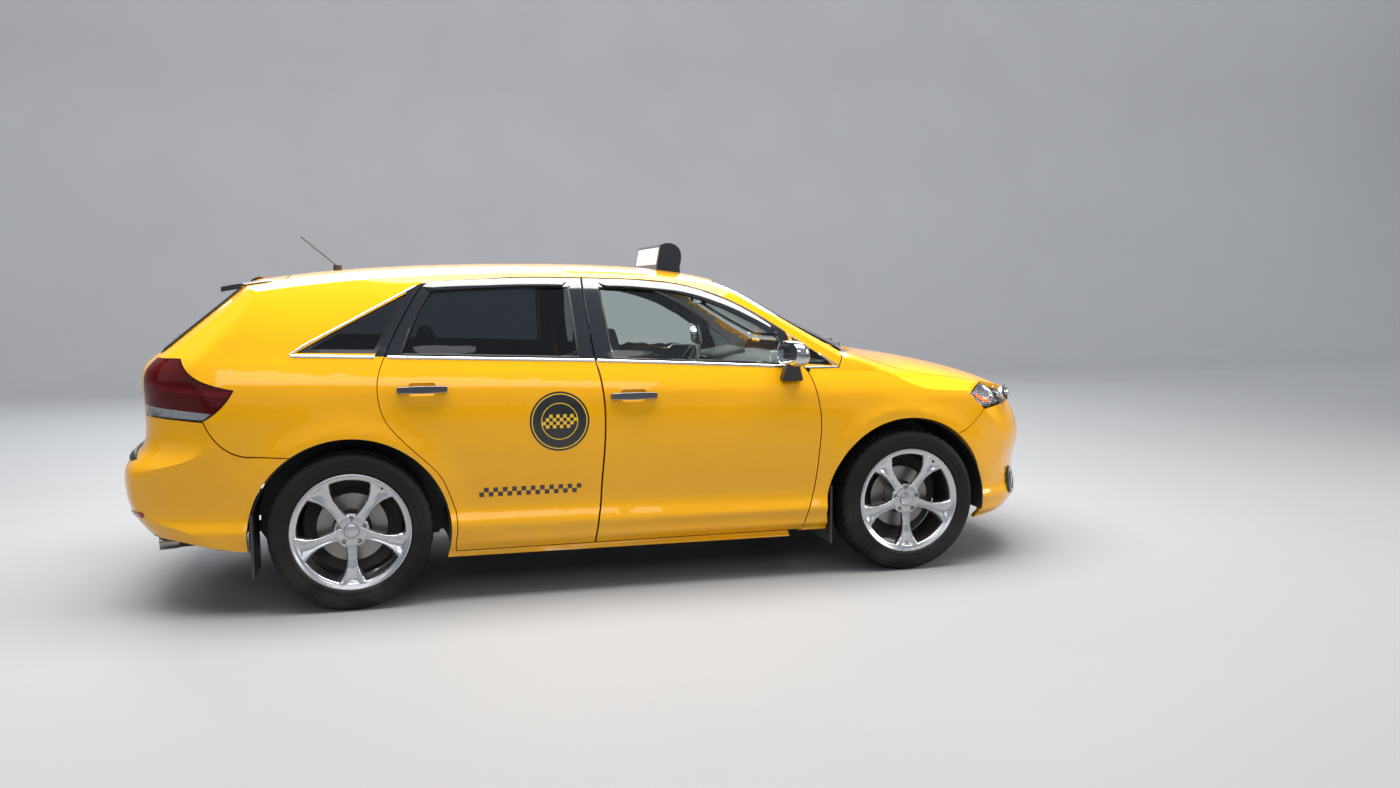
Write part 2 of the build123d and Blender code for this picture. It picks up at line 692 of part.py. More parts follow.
def turned(section):
    """A solid of revolution about the wheel's axis, from points of (distance outwards, radius)."""
    points = [Vector(r, -a, 0) for a, r in section]
    face = Face(Wire.make_polygon(points, close=True))
    return Solid.revolve(face, 360, Axis.Y)


def facetted_ring(section, segments=48):
    """A ring about the wheel's axis from flat facets, round to within a millimetre."""
    step = 2 * np.pi / segments
    swell = 1 / np.cos(step / 2)
    turns = [step * (k + 0.5) for k in range(segments)]
    rings = [[Vector(r * swell * np.sin(t), -a, r * swell * np.cos(t)) for t in turns] for a, r in section]
    faces = []
    for ring, following in zip(rings, rings[1:] + rings[:1]):
        for k in range(segments):
            corners = [ring[k], ring[k - 1], following[k - 1], following[k]]
            faces.append(Face(Wire.make_polygon(corners, close=True)))
    return Solid(Shell(faces))


def window_cut():
    """The opening between two spokes, as a prism through the dish."""
    half_turn = np.pi / SPOKES
    left = [(r, half_turn - np.arcsin(w / r)) for w, r in SPOKE_WIDTHS]
    top = left[-1][1] - 0.03
    side = [Vector(-r * np.sin(t), -40, r * np.cos(t)) for r, t in left]
    crest = [Vector(-WINDOW_TOP_R * np.sin(t), -40, WINDOW_TOP_R * np.cos(t)) for t in (top, 0.0, -top)]
    other = [Vector(-p.X, p.Y, p.Z) for p in side[::-1]]
    floor_mid = Vector(0, -40, 84)
    edges = [
        Edge.make_spline(side), Edge.make_line(side[-1], crest[0]), Edge.make_spline(crest),
        Edge.make_line(crest[-1], other[0]), Edge.make_spline(other),
        Edge.make_line(other[-1], floor_mid), Edge.make_line(floor_mid, side[0]),
    ]
    return Solid.extrude(Face(Wire(edges)), Vector(0, -90, 0))


def rim_solid():
    """Rim, spokes, hub and brake disc in one piece, with the outside facing -Y."""
    rim = turned(RIM_SECTION)
    opening = window_cut()
    for i in range(SPOKES):
        turn = 360 / SPOKES * i
        rim = rim - opening.rotate(Axis.Y, turn)
        lug = rod((0, -72 + LUG_DEPTH, LUG_PITCH_R), (0, -90, LUG_PITCH_R), LUG_R)
        rim = rim - lug.rotate(Axis.Y, turn)
    return rim + turned(DISC_SECTION)


rim = rim_solid()
tyre = facetted_ring(TYRE_SECTION)
for place, axle_x in AXLES.items():
    for hand, sign in SIDES.items():
        move = Pos(axle_x, sign * TRACK_HALF, AXLE_Z)
        turn = Rot(0, 0, 180) if sign > 0 else Rot(0, 0, 0)
        keep(f"rim_{place}_{hand}", move * turn * rim)
        keep(f"tyre_{place}_{hand}", move * turn * tyre)
print("wheels built")

# Front knuckles with their struts and brake calipers: they steer about an upright line


def caliper():
    """A brake caliper that straddles the front of the disc, with 6 mm of air round it."""
    ring = Cylinder(176, 56) - Cylinder(96, 56)
    wedge = Pos(150, 0, 0) * Box(180, 110, 60)
    piece = ring & wedge
    slot = Cylinder(167, 42)
    return Rot(90, 0, 0) * (piece - slot)


def knuckle(axle_x):
    y_in, y_disc = -708.0, -TRACK_HALF + 52
    hub = rod((axle_x, y_in, AXLE_Z), (axle_x, y_disc - 2, AXLE_Z), 62)
    plate = block(axle_x - 46, axle_x + 46, y_in, y_in + 34, AXLE_Z - 150, AXLE_Z + 150)
    strut = rod((axle_x, y_in + 20, AXLE_Z + 120), (axle_x - 12, y_in + 52, 700), 26)
    bracket = block(axle_x + 40, axle_x + 150, y_in - 20, y_in + 20, AXLE_Z - 40, AXLE_Z + 40)
    grip = Pos(axle_x, -TRACK_HALF + 28, AXLE_Z) * caliper()
    return hub + plate + strut + bracket + grip


right_knuckle = knuckle(FRONT_AXLE_X)
keep("knuckle_right", biggest(right_knuckle))
keep("knuckle_left", left_of(biggest(right_knuckle)))

# Rear suspension: cross member, trailing arms, hub carriers and springs, fixed to the body
rear_carrier = knuckle(REAR_AXLE_X)
beam = rod((REAR_AXLE_X + 30, -690, 330), (REAR_AXLE_X + 30, 690, 330), 38)
subframe = block(REAR_AXLE_X - 90, REAR_AXLE_X + 130, -420, 420, 330, 400)
rear_suspension = biggest(rear_carrier) + left_of(biggest(rear_carrier)) + beam + subframe
keep("rear_suspension", biggest(rear_suspension))

# Front subframe, lower arms and the engine with its gearbox as one plain block
cradle = block(1244, 1760, -400, 400, 250, 310)
EYE_R = 14.0
for y in (-340, 340):
    eye = block(1750, 1872, y - 6, y + 6, 250, 306)
    cradle = cradle + (eye - rod((1843, y - 10, 278), (1843, y + 10, 278), EYE_R))
arm = block(1400, 1480, -662, -380, 262, 296)
keep("front_subframe", cradle + arm + left_of(arm))
engine = block(1290, 1820, -360, 380, 330, 860)
keep("engine", engine)

# Wheel housings with mud flaps
LINER_R = 446.0


def liner(axle_x, y_in, y_out):
    shell = arch_round(axle_x, LINER_R, y_out, y_in) - arch_round(axle_x, LINER_R - 4, y_out - 1, y_in + 1)
    x_from, x_to = axle_x - 460, axle_x + 460
    inner = arch_round(axle_x, LINER_R, y_in - 4, y_in) & block(x_from, x_to, y_in - 4, y_in, 410, 900)
    return (shell & block(x_from, x_to, y_out, y_in, ARCH_Z - 60, 900)) + inner


def flap(x_from, x_to, z_from):
    """A rubber mud flap behind a wheel, hung from the housing."""
    return block(x_from, x_to, -930, -700, z_from, 468)


front_liner = liner(FRONT_AXLE_X, -470, -893) + flap(FRONT_AXLE_X - 434, FRONT_AXLE_X - 424, 170)
rear_liner = liner(REAR_AXLE_X, -600, -893) + flap(REAR_AXLE_X - 434, REAR_AXLE_X - 422, 185)
keep("wheel_liners", front_liner, rear_liner, left_of(front_liner), left_of(rear_liner))

# Floor: one pressing from the engine bulkhead to the tail
FLOOR = [
    [(1236, 260)], [(1236, 1060)], [(1212, 1060)], [(1212, 420)], [(1120, 262)], [(-852, 262)],
    [(-932, 420)], [(-1150, 640)], [(-1160, 700)], [(-2200, 720)], [(-2200, 690)], [(-1190, 664)],
    [(-1180, 610)],
    [(-962, 390)], [(-880, 236)], [(1140, 236)],
]
floor = side_view_cut(FLOOR, -596, 596)
side_floor = block(-840, 900, -758, -590, 236, 262)
wheel_room = arch_round(FRONT_AXLE_X, LINER_R + 5, -700, -464)
keep("floor_pan", floor + side_floor + left_of(side_floor) - wheel_room - left_of(wheel_room))

# Exhaust: pipe down the middle, silencer across the tail, tip at the right
pipe = rod((1180, -60, 205), (-1080, -60, 205), 28)
bend = rod((-1080, -60, 205), (-1840, -300, 300), 28) + (Pos(-1080, -60, 205) * Sphere(28))
silencer = rod((-1930, -560, 330), (-1930, 260, 330), 92)
tip = rod((-1980, -520, 300), (-2215, -560, 300), 34)
keep("exhaust", pipe + bend + silencer + tip)

# Seats: squab, backrest and head restraint in one closed form on two rails, drawn from the side
SEAT_SIDE = [
    (20, 330), (500, 368), (532, 450), (470, 520), (46, 490), (-84, 1010), (-112, 1086), (-192, 1086),
    (-196, 1000), (-84, 470), (-60, 340),
]
HEADREST = [(-118, 1100), (-108, 1190), (-132, 1268), (-190, 1268), (-208, 1190), (-198, 1100)]
SEAT_ROUND, HEADREST_ROUND = 26.0, 16.0
RAIL_W, RAIL_LENGTH = 44.0, 380.0


def side_form(points, radius, y_from, y_to):
    """A side profile as wide as y_from to y_to, with its lengthwise edges rounded."""
    side = Face(Wire.make_polygon([(x, y_from, z) for x, z in points]))
    form = Solid.extrude(side, Vector(0, y_to - y_from, 0))
    return fillet(form.edges().filter_by(Axis.Y), radius)


def seat(offset_x, y_from, y_to):
    middle = (y_from + y_to) / 2
    body = side_form([(x + offset_x, z) for x, z in SEAT_SIDE], SEAT_ROUND, y_from, y_to)
    rest = side_form([(x + offset_x, z) for x, z in HEADREST], HEADREST_ROUND, middle - 130, middle + 130)
    posts = block(offset_x - 160, offset_x - 148, middle - 60, middle + 60, 1070, 1112)
    whole = body + rest + posts
    for y in (y_from + 70, y_to - 70 - RAIL_W):
        whole = whole + block(offset_x + 20, offset_x + 20 + RAIL_LENGTH, y, y + RAIL_W, 262, 345)
    return whole


front_seat = seat(110, -640, -130)
keep("front_seats", front_seat, left_of(front_seat))
REAR_SEAT_X = -806.0
bench = seat(REAR_SEAT_X, -585, 0)
keep("rear_seat", bench + left_of(bench))

# Dashboard and centre console
DASH = [
    [(1186, 772)], [(1186, 1060)], [(1100, 1088), (900, 1086), (760, 1058)], [(690, 1000), (676, 900)],
    [(740, 780)], [(900, 768)],
]
CONSOLE = [[(760, 266)], [(760, 720)], [(560, 600), (380, 560)], [(60, 560)], [(60, 266)]]
dash = side_view_cut(DASH, -690, 690)
console = side_view_cut(CONSOLE, -105, 105)
WHEEL_CENTRE = (560.0, 370.0, 960.0)
COLUMN_TILT = 26.0
column_axis = Vector(-np.cos(np.radians(COLUMN_TILT)), 0, np.sin(np.radians(COLUMN_TILT)))
column_end = Vector(*WHEEL_CENTRE) - column_axis * 40
column_start = Vector(*WHEEL_CENTRE) - column_axis * 300
column = rod(column_start, column_end, 32)
keep("dashboard", dash + console + column)

# Steering wheel
wheel_plane = Plane(origin=WHEEL_CENTRE, x_dir=(0, 1, 0), z_dir=column_axis)
ring = Torus(178, 14)
hub = Cylinder(52, 44)
arms = Box(340, 40, 18) + Pos(0, -86, 0) * Box(40, 172, 18)
keep("steering_wheel", wheel_plane * (ring + hub + arms))

# Door mirrors and handles
skin_and_in = side_wall(-0.4, 300)
mirror_head = Pos(772, -1008, 1152) * Rot(0, 0, -8) * moulded(112, 178, 128, 30)
mirror_foot = Pos(792, -925, 1050) * Rot(0, 0, 0) * moulded(120, 110, 76, 20)
mirror = biggest((mirror_head + mirror_foot) - skin_and_in)
keep("mirror_right", mirror)
keep("mirror_left", left_of(mirror))
for place, (x, z) in HANDLES.items():
    handle = Pos(x, -958, z) * moulded(236, 18, 26, 8)
    for foot_x in (x - 92, x + 92):
        reach = max(side_y(foot_x + dx, z + dz) for dx in (-13, 13) for dz in (-8, 8)) + 0.3
        handle = handle + block(foot_x - 13, foot_x + 13, -960, -reach, z - 8, z + 8)
    keep(f"handle_{place}_right", handle)
    keep(f"handle_{place}_left", left_of(handle))

# On the roof: the sign across the roof and the aerial
roof_and_below = roof_wall(-0.4, 300)
SIGN = [
    [(246, 1540)], [(250, 1590)], [(272, 1706), (290, 1714)], [(338, 1714), (356, 1706)], [(378, 1590)],
    [(382, 1540)],
]
sign = biggest(side_view_cut(SIGN, -300, 300) - roof_and_below)
keep("roof_sign", sign)
AERIAL_BASE_X = -1404.0
aerial_base = rod((AERIAL_BASE_X, 0, 1540), (AERIAL_BASE_X, 0, 1606), 22) - roof_and_below
aerial_mast = rod((AERIAL_BASE_X, 0, 1600), (-1581, 0, 1754), 3)
keep("aerial", biggest(aerial_base) + aerial_mast)
print("inside built")

for name, shape in PARTS.items():
    export_step(shape, f"parts/{name}.step")
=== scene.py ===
import json
import math

import bmesh
import bpy
from mathutils import Matrix, Vector

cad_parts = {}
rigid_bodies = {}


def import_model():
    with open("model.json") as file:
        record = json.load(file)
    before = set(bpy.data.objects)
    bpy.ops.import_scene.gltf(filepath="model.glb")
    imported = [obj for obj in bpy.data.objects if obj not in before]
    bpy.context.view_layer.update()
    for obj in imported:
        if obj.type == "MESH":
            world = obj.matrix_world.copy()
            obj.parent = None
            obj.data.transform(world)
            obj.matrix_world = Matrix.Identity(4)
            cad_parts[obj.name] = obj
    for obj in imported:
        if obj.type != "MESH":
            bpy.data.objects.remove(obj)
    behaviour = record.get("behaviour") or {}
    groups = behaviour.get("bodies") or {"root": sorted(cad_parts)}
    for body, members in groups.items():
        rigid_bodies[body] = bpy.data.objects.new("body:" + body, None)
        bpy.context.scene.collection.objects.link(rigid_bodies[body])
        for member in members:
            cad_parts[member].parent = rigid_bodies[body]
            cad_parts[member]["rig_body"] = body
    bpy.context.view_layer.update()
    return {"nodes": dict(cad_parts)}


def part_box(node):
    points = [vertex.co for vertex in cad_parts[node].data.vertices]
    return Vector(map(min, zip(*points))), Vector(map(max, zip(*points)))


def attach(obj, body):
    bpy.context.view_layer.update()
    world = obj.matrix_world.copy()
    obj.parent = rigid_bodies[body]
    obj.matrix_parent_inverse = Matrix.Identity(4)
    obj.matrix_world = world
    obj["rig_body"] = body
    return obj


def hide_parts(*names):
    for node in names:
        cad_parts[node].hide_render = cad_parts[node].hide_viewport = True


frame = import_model()


# Painted shell: pressed steel panels under cab-yellow enamel with a clear coat over it, some fine
# orange peel and a film of road dust low down. Each packed panel is welded into one smooth skin.
def fine_grain_group():
    """Height of a fine pebbled grain, and a broad uneven tone, over the surface."""
    group = bpy.data.node_groups.new("fine_grain", "ShaderNodeTree")
    face = group.interface
    face.new_socket("Grain Scale", in_out="INPUT", socket_type="NodeSocketFloat").default_value = 400
    face.new_socket("Tone Scale", in_out="INPUT", socket_type="NodeSocketFloat").default_value = 3
    face.new_socket("Height", in_out="OUTPUT", socket_type="NodeSocketFloat")
    face.new_socket("Tone", in_out="OUTPUT", socket_type="NodeSocketFloat")
    nodes, links = group.nodes, group.links
    start = nodes.new("NodeGroupInput")
    end = nodes.new("NodeGroupOutput")
    place = nodes.new("ShaderNodeTexCoord")
    grain = nodes.new("ShaderNodeTexNoise")
    grain.inputs["Detail"].default_value = 3
    tone = nodes.new("ShaderNodeTexNoise")
    tone.inputs["Detail"].default_value = 4
    for texture, scale in ((grain, "Grain Scale"), (tone, "Tone Scale")):
        links.new(place.outputs["Object"], texture.inputs["Vector"])
        links.new(start.outputs[scale], texture.inputs["Scale"])
    links.new(grain.outputs["Fac"], end.inputs["Height"])
    links.new(tone.outputs["Fac"], end.inputs["Tone"])
    return group


def road_dust_group():
    """Mask of the dust that the wheels throw up: thick at the bottom, patchy, gone above Top."""
    group = bpy.data.node_groups.new("road_dust", "ShaderNodeTree")
    face = group.interface
    face.new_socket("Top", in_out="INPUT", socket_type="NodeSocketFloat").default_value = 0.6
    face.new_socket("Amount", in_out="INPUT", socket_type="NodeSocketFloat").default_value = 0.5
    face.new_socket("Mask", in_out="OUTPUT", socket_type="NodeSocketFloat")
    nodes, links = group.nodes, group.links
    start = nodes.new("NodeGroupInput")
    end = nodes.new("NodeGroupOutput")
    place = nodes.new("ShaderNodeTexCoord")
    height = nodes.new("ShaderNodeSeparateXYZ")
    fall = nodes.new("ShaderNodeMapRange")
    fall.inputs["From Min"].default_value = 0.12
    fall.inputs["To Min"].default_value = 1
    fall.inputs["To Max"].default_value = 0
    patches = nodes.new("ShaderNodeTexNoise")
    patches.inputs["Scale"].default_value = 7
    patches.inputs["Detail"].default_value = 7
    ramp = nodes.new("ShaderNodeMapRange")
    ramp.inputs["From Min"].default_value = 0.35
    ramp.inputs["From Max"].default_value = 0.75
    both = nodes.new("ShaderNodeMath")
    both.operation = "MULTIPLY"
    share = nodes.new("ShaderNodeMath")
    share.operation = "MULTIPLY"
    links.new(place.outputs["Object"], height.inputs[0])
    links.new(height.outputs["Z"], fall.inputs["Value"])
    links.new(start.outputs["Top"], fall.inputs["From Max"])
    links.new(place.outputs["Object"], patches.inputs["Vector"])
    links.new(patches.outputs["Fac"], ramp.inputs["Value"])
    links.new(fall.outputs["Result"], both.inputs[0])
    links.new(ramp.outputs["Result"], both.inputs[1])
    links.new(both.outputs[0], share.inputs[0])
    links.new(start.outputs["Amount"], share.inputs[1])
    links.new(share.outputs[0], end.inputs["Mask"])
    return group


fine_grain = fine_grain_group()
road_dust = road_dust_group()


def finish(name, colour, second, rough, grain=400, bump=0.05, tone=3, dust=0.0, dust_top=0.6,
           dust_colour=(0.16, 0.13, 0.10), rough_spread=0.08, distance=0.0005, **plain):
    """A surface with uneven tone between two colours, grain in its height, and dust low down.
    Further values go onto the shader's own sockets."""
    material = bpy.data.materials.new(name)
    material.use_nodes = True
    nodes, links = material.node_tree.nodes, material.node_tree.links
    shader = nodes["Principled BSDF"]
    for socket, value in plain.items():
        shader.inputs[socket.replace("_", " ")].default_value = value
    surface = nodes.new("ShaderNodeGroup")
    surface.node_tree = fine_grain
    surface.inputs["Grain Scale"].default_value = grain
    surface.inputs["Tone Scale"].default_value = tone
    mix = nodes.new("ShaderNodeMix")
    mix.data_type = "RGBA"
    mix.inputs["A"].default_value = (*colour, 1)
    mix.inputs["B"].default_value = (*second, 1)
    spread = nodes.new("ShaderNodeMapRange")
    spread.inputs["From Min"].default_value = 0.3
    spread.inputs["From Max"].default_value = 0.7
    links.new(surface.outputs["Tone"], spread.inputs["Value"])
    links.new(spread.outputs["Result"], mix.inputs["Factor"])
    gloss = nodes.new("ShaderNodeMapRange")
    gloss.inputs["To Min"].default_value = max(rough - rough_spread, 0.02)
    gloss.inputs["To Max"].default_value = rough + rough_spread
    links.new(surface.outputs["Tone"], gloss.inputs["Value"])
    colour_out, rough_out = mix.outputs["Result"], gloss.outputs["Result"]
    if dust:
        film = nodes.new("ShaderNodeGroup")
        film.node_tree = road_dust
        film.inputs["Top"].default_value = dust_top
        film.inputs["Amount"].default_value = dust
        dusty = nodes.new("ShaderNodeMix")
        dusty.data_type = "RGBA"
        dusty.inputs["B"].default_value = (*dust_colour, 1)
        links.new(film.outputs["Mask"], dusty.inputs["Factor"])
        links.new(colour_out, dusty.inputs["A"])
        dull = nodes.new("ShaderNodeMix")
        dull.inputs["B"].default_value = 0.8
        links.new(film.outputs["Mask"], dull.inputs["Factor"])
        links.new(rough_out, dull.inputs["A"])
        colour_out, rough_out = dusty.outputs["Result"], dull.outputs["Result"]
    links.new(colour_out, shader.inputs["Base Color"])
    links.new(rough_out, shader.inputs["Roughness"])
    if bump:
        relief = nodes.new("ShaderNodeBump")
        relief.inputs["Strength"].default_value = bump
        relief.inputs["Distance"].default_value = distance
        links.new(surface.outputs["Height"], relief.inputs["Height"])
        links.new(relief.outputs["Normal"], shader.inputs["Normal"])
    return material


def alone(piece):
    """Only this piece is selected and active."""
    if bpy.context.object and bpy.context.object.mode != "OBJECT":
        bpy.ops.object.mode_set(mode="OBJECT")
    bpy.ops.object.select_all(action="DESELECT")
    piece.hide_set(False)
    piece.select_set(True)
    bpy.context.view_layer.objects.active = piece


def placed(name, data):
    """A new object in the scene that carries this data."""
    piece = bpy.data.objects.new(name, data)
    bpy.context.scene.collection.objects.link(piece)
    return piece


def edited(piece, operator, **settings):
    """Runs one mesh operator on the whole of a piece."""
    alone(piece)
    bpy.ops.object.mode_set(mode="EDIT")
    bpy.ops.mesh.select_all(action="SELECT")
    operator(**settings)
    bpy.ops.object.mode_set(mode="OBJECT")


# Points of a mesh that are nearer to each other than this, in metres, are welded
WELD = 0.00002


def skinned(node, material, angle=28, suffix="_skin"):
    """A welded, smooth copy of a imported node, which it stands for."""
    source = frame["nodes"][node]
    piece = placed(node + suffix, source.data.copy())
    edited(piece, bpy.ops.mesh.remove_doubles, threshold=WELD)
    bpy.ops.mesh.customdata_custom_splitnormals_clear()
    bpy.ops.object.shade_smooth_by_angle(angle=math.radians(angle))
    piece.data.materials.clear()
    piece.data.materials.append(material)
    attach(piece, source["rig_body"])
    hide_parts(node)
    return piece


paint = finish("cab_yellow_enamel", (0.85, 0.40, 0.0005), (0.81, 0.375, 0.0005), 0.30, grain=900,
               bump=0.02, tone=1.5, dust=0.35, dust_top=0.42, dust_colour=(0.30, 0.20, 0.08),
               Coat_Weight=1.0, Coat_Roughness=0.03, Specular_IOR_Level=0.05)
PAINTED = ("body_side_right", "body_side_left", "roof", "front_wing_right", "front_wing_left",
           "front_bumper", "rear_bumper", "tailgate", "bonnet", "door_front_right", "door_front_left",
           "door_rear_right", "door_rear_left")
for panel in PAINTED:
    skinned(panel, paint)

# Door frames: above the belt each door is gloss black, so its skin is cut along the belt line and the
# upper part takes the black finish. Painted steel below, black-coated frame above.
gloss_black = finish("gloss_black", (0.006, 0.007, 0.010), (0.010, 0.012, 0.016), 0.07, grain=700,
                     bump=0.008, Coat_Weight=1.0, Coat_Roughness=0.02)
# The car's two sides, with the sign of Y there
HANDS = (("right", -1), ("left", 1))
# Height of the belt at BELT_X, and its slope forwards, at the rear doors and the front doors
BELT_X = -0.18
BELT = {"rear": (1.1330, -0.0373), "front": (1.1330, -0.0531)}


def skin_of(node):
    """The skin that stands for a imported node."""
    return bpy.data.objects[node + "_skin"]


def cut_along(piece, planes):
    """Cuts a piece's faces along planes, each a point and a normal, and keeps both sides."""
    for point, normal in planes:
        edited(piece, bpy.ops.mesh.bisect, plane_co=point, plane_no=normal)


for end, (level, slope) in BELT.items():
    for hand, _ in HANDS:
        panel = skin_of(f"door_{end}_{hand}")
        panel.data.materials.append(gloss_black)
        cut_along(panel, [((BELT_X, 0, level), (-slope, 0, 1))])
        for face in panel.data.polygons:
            if face.center.z - level - slope * (face.center.x - BELT_X) > 0:
                face.material_index = 1
# The body's post between the rear door and the small rear side window is gloss black too.
# Each line is a point and a direction towards what stays black, as (x, z)
POST_LINES = (((-1.20, 1.172), (0.0, 1.0)), ((-1.304, 1.337), (0.471, -0.882)),
              ((-1.205, 1.170), (0.889, -0.457)))
POST_FRONT_X = -0.94
for hand, _ in HANDS:
    panel = skin_of(f"body_side_{hand}")
    panel.data.materials.append(gloss_black)
    cut_along(panel, [((x, 0, z), (ahead, 0, up)) for (x, z), (ahead, up) in POST_LINES])
    for face in panel.data.polygons:
        inside = [(face.center.x - x) * ahead + (face.center.z - z) * up > 0
                  for (x, z), (ahead, up) in POST_LINES]
        if all(inside) and face.center.x < POST_FRONT_X:
            face.material_index = 1

# Black mouldings: gloss spoiler, and grained cowl, grille, wheel liners and aerial foot. Injection-moulded
# plastic, clipped and screwed to the shell.
black_plastic = finish("grained_black_plastic", (0.016, 0.016, 0.017), (0.026, 0.026, 0.027), 0.5,
                       grain=1400, bump=0.25, dust=0.4, dust_top=0.5)
skinned("spoiler", gloss_black)
for node in ("cowl", "grille", "wheel_liners", "aerial"):
    skinned(node, black_plastic)

# Cabin mouldings: dashboard with console, and the steering wheel's own solid under its leather. Grained
# plastic over a stiff core.
trim_plastic = finish("cabin_plastic", (0.035, 0.034, 0.033), (0.05, 0.048, 0.046), 0.6, grain=1500,
                      bump=0.3)
for node in ("dashboard", "steering_wheel"):
    skinned(node, trim_plastic)

# Underside: pressed floor and frames under sprayed underseal, and cast and welded running gear with
# some rust on it.
underseal = finish("underseal", (0.02, 0.019, 0.018), (0.035, 0.032, 0.03), 0.8, grain=300, bump=0.5,
                   dust=0.7, dust_top=0.5)
cast_iron = finish("cast_iron", (0.06, 0.055, 0.05), (0.12, 0.07, 0.04), 0.7, grain=500, bump=0.4,
                   Metallic=0.7)
for node in ("floor_pan", "front_subframe", "rear_suspension"):
    skinned(node, underseal)
for node in ("knuckle_right", "knuckle_left", "engine", "exhaust"):
    skinned(node, cast_iron)

# Seat cores: the solids of the front seats and the rear bench, which the pads are laid over.
core_cloth = finish("seat_core_cloth", (0.035, 0.034, 0.035), (0.055, 0.053, 0.052), 0.9, grain=1800,
                    bump=0.5, Sheen_Weight=0.3)
for node in ("front_seats", "rear_seat"):
    skinned(node, core_cloth)


# Glass: clear at the front, darkened behind the front doors. Rolled, bent and tempered panes, each as
# thick as its solid.
def glass(name, colour):
    """Clear or tinted glass."""
    material = bpy.data.materials.new(name)
    material.use_nodes = True
    shader = material.node_tree.nodes["Principled BSDF"]
    shader.inputs["Base Color"].default_value = (*colour, 1)
    shader.inputs["Roughness"].default_value = 0
    shader.inputs["Transmission Weight"].default_value = 1
    shader.inputs["IOR"].default_value = 1.45
    return material


clear_glass = glass("clear_glass", (0.86, 0.92, 0.90))
privacy_glass = glass("privacy_glass", (0.20, 0.23, 0.25))
for node in ("windscreen", "door_glass_front_right", "door_glass_front_left"):
    skinned(node, clear_glass)
for node in ("quarter_glasses", "tailgate_glass", "door_glass_rear_right", "door_glass_rear_left"):
    skinned(node, privacy_glass)

# Wheels: a cast five-spoke silver alloy with flared spoke ends and a hollow at each rim end, five nuts
# sunk in wells between the spokes, a blank cap, the brake disc behind, and a low road tyre. Cast and
# turned; one wheel is modelled with its outside facing -Y and copied to the four hubs.
alloy = finish("silver_alloy", (0.62, 0.63, 0.65), (0.55, 0.56, 0.58), 0.24, grain=900, bump=0.02,
               dust=0.3, dust_top=0.75, dust_colour=(0.1, 0.085, 0.07), Metallic=1.0, Coat_Weight=0.5,
               Coat_Roughness=0.05)
rubber = finish("tyre_rubber", (0.007, 0.007, 0.007), (0.012, 0.0118, 0.0115), 0.68, grain=900, bump=0.25,
                dust=0.2, dust_top=0.5, Specular_IOR_Level=0.18)
WHEELS = [(f"{end}_{hand}", Vector((x, sign * 0.817, 0.370)), sign) for end, x in
          (("front", 1.445), ("rear", -1.330)) for hand, sign in HANDS]


def from_points(name, points, faces, edges=()):
    """A new piece whose mesh has these points in metres, faces and loose edges."""
    mesh = bpy.data.meshes.new(name)
    mesh.from_pydata(points, edges, faces)
    return placed(name, mesh)


def spun(name, section, steps, material):
    """A ring turned about the Y axis from (distance outwards, radius) points in millimetres."""
    points = [(0, -out / 1000, radius / 1000) for out, radius in section]
    piece = from_points(name, points, [], [(i, i + 1) for i in range(len(points) - 1)])
    edited(piece, bpy.ops.mesh.spin, steps=steps, angle=math.tau, center=(0, 0, 0), axis=(0, 1, 0))
    edited(piece, bpy.ops.mesh.remove_doubles, threshold=WELD)
    edited(piece, bpy.ops.mesh.normals_make_consistent, inside=False)
    bpy.ops.object.shade_smooth_by_angle(angle=math.radians(35))
    piece.data.materials.append(material)
    return piece


def between(table, value):
    """Smooth value from a table of (place, value)."""
    for (a, va), (b, vb) in zip(table, table[1:]):
        if value <= b:
            share = min(max((value - a) / (b - a), 0), 1)
            share = share * share * (3 - 2 * share)
            return va + (vb - va) * share
    return table[-1][1]


def applied(piece, kind, **values):
    """Adds one modifier and applies it."""
    alone(piece)
    modifier = piece.modifiers.new(kind.lower(), kind)
    for name, value in values.items():
        setattr(modifier, name, value)
    bpy.ops.object.modifier_apply(modifier=modifier.name)
    return piece


# Barrel and lip of the rim
rim_ring = spun("rim_ring", [
    (-118, 258), (-118, 271), (-108, 271), (-104, 260), (-60, 256), (40, 251), (92, 257), (100, 264),
    (106, 271), (113, 271.5), (116, 270), (117, 266), (114, 261), (111, 258.5), (109, 254), (106, 246),
    (101, 241), (92, 239), (66, 239), (58, 242), (-58, 247), (-112, 251), (-118, 258)], 128, alloy)

# One spoke: a grid laid along +Z, bowed, crowned at its root and hollowed at its rim end. Its numbers
# are millimetres, and SPOKE_FROM and SPOKE_TO are the radii of its two ends
SPOKE_FROM, SPOKE_TO = 26, 252
SPOKE_HALF_WIDTH = ((26, 40), (60, 35), (86, 29), (120, 26), (160, 30), (195, 42), (225, 60), (252, 84))
SPOKE_FACE = ((26, 77), (60, 80), (90, 84), (130, 87), (180, 94), (225, 103), (252, 109))
bpy.ops.mesh.primitive_grid_add(x_subdivisions=16, y_subdivisions=26, size=2)
spoke = bpy.context.object
spoke.name = "spoke"
for vertex in spoke.data.vertices:
    across, along = vertex.co.x, (vertex.co.y + 1) / 2
    radius = SPOKE_FROM + (SPOKE_TO - SPOKE_FROM) * along
    half = between(SPOKE_HALF_WIDTH, radius)
    out = between(SPOKE_FACE, radius)
    edge = abs(across)
    out -= 30 * max(0, (edge - 0.72) / 0.28) ** 2.2
    out += 3.5 * math.exp(-((edge - 0.62) / 0.16) ** 2) * min(1, along * 1.6)
    out -= 11 * math.exp(-((radius - 222) / 26) ** 2 - (across / 0.52) ** 2)
    out -= 2.5 * (1 - edge ** 2) * math.exp(-((radius - 130) / 60) ** 2)
    angle = across * half / radius
    vertex.co = (radius * math.sin(angle) / 1000, -out / 1000, radius * math.cos(angle) / 1000)
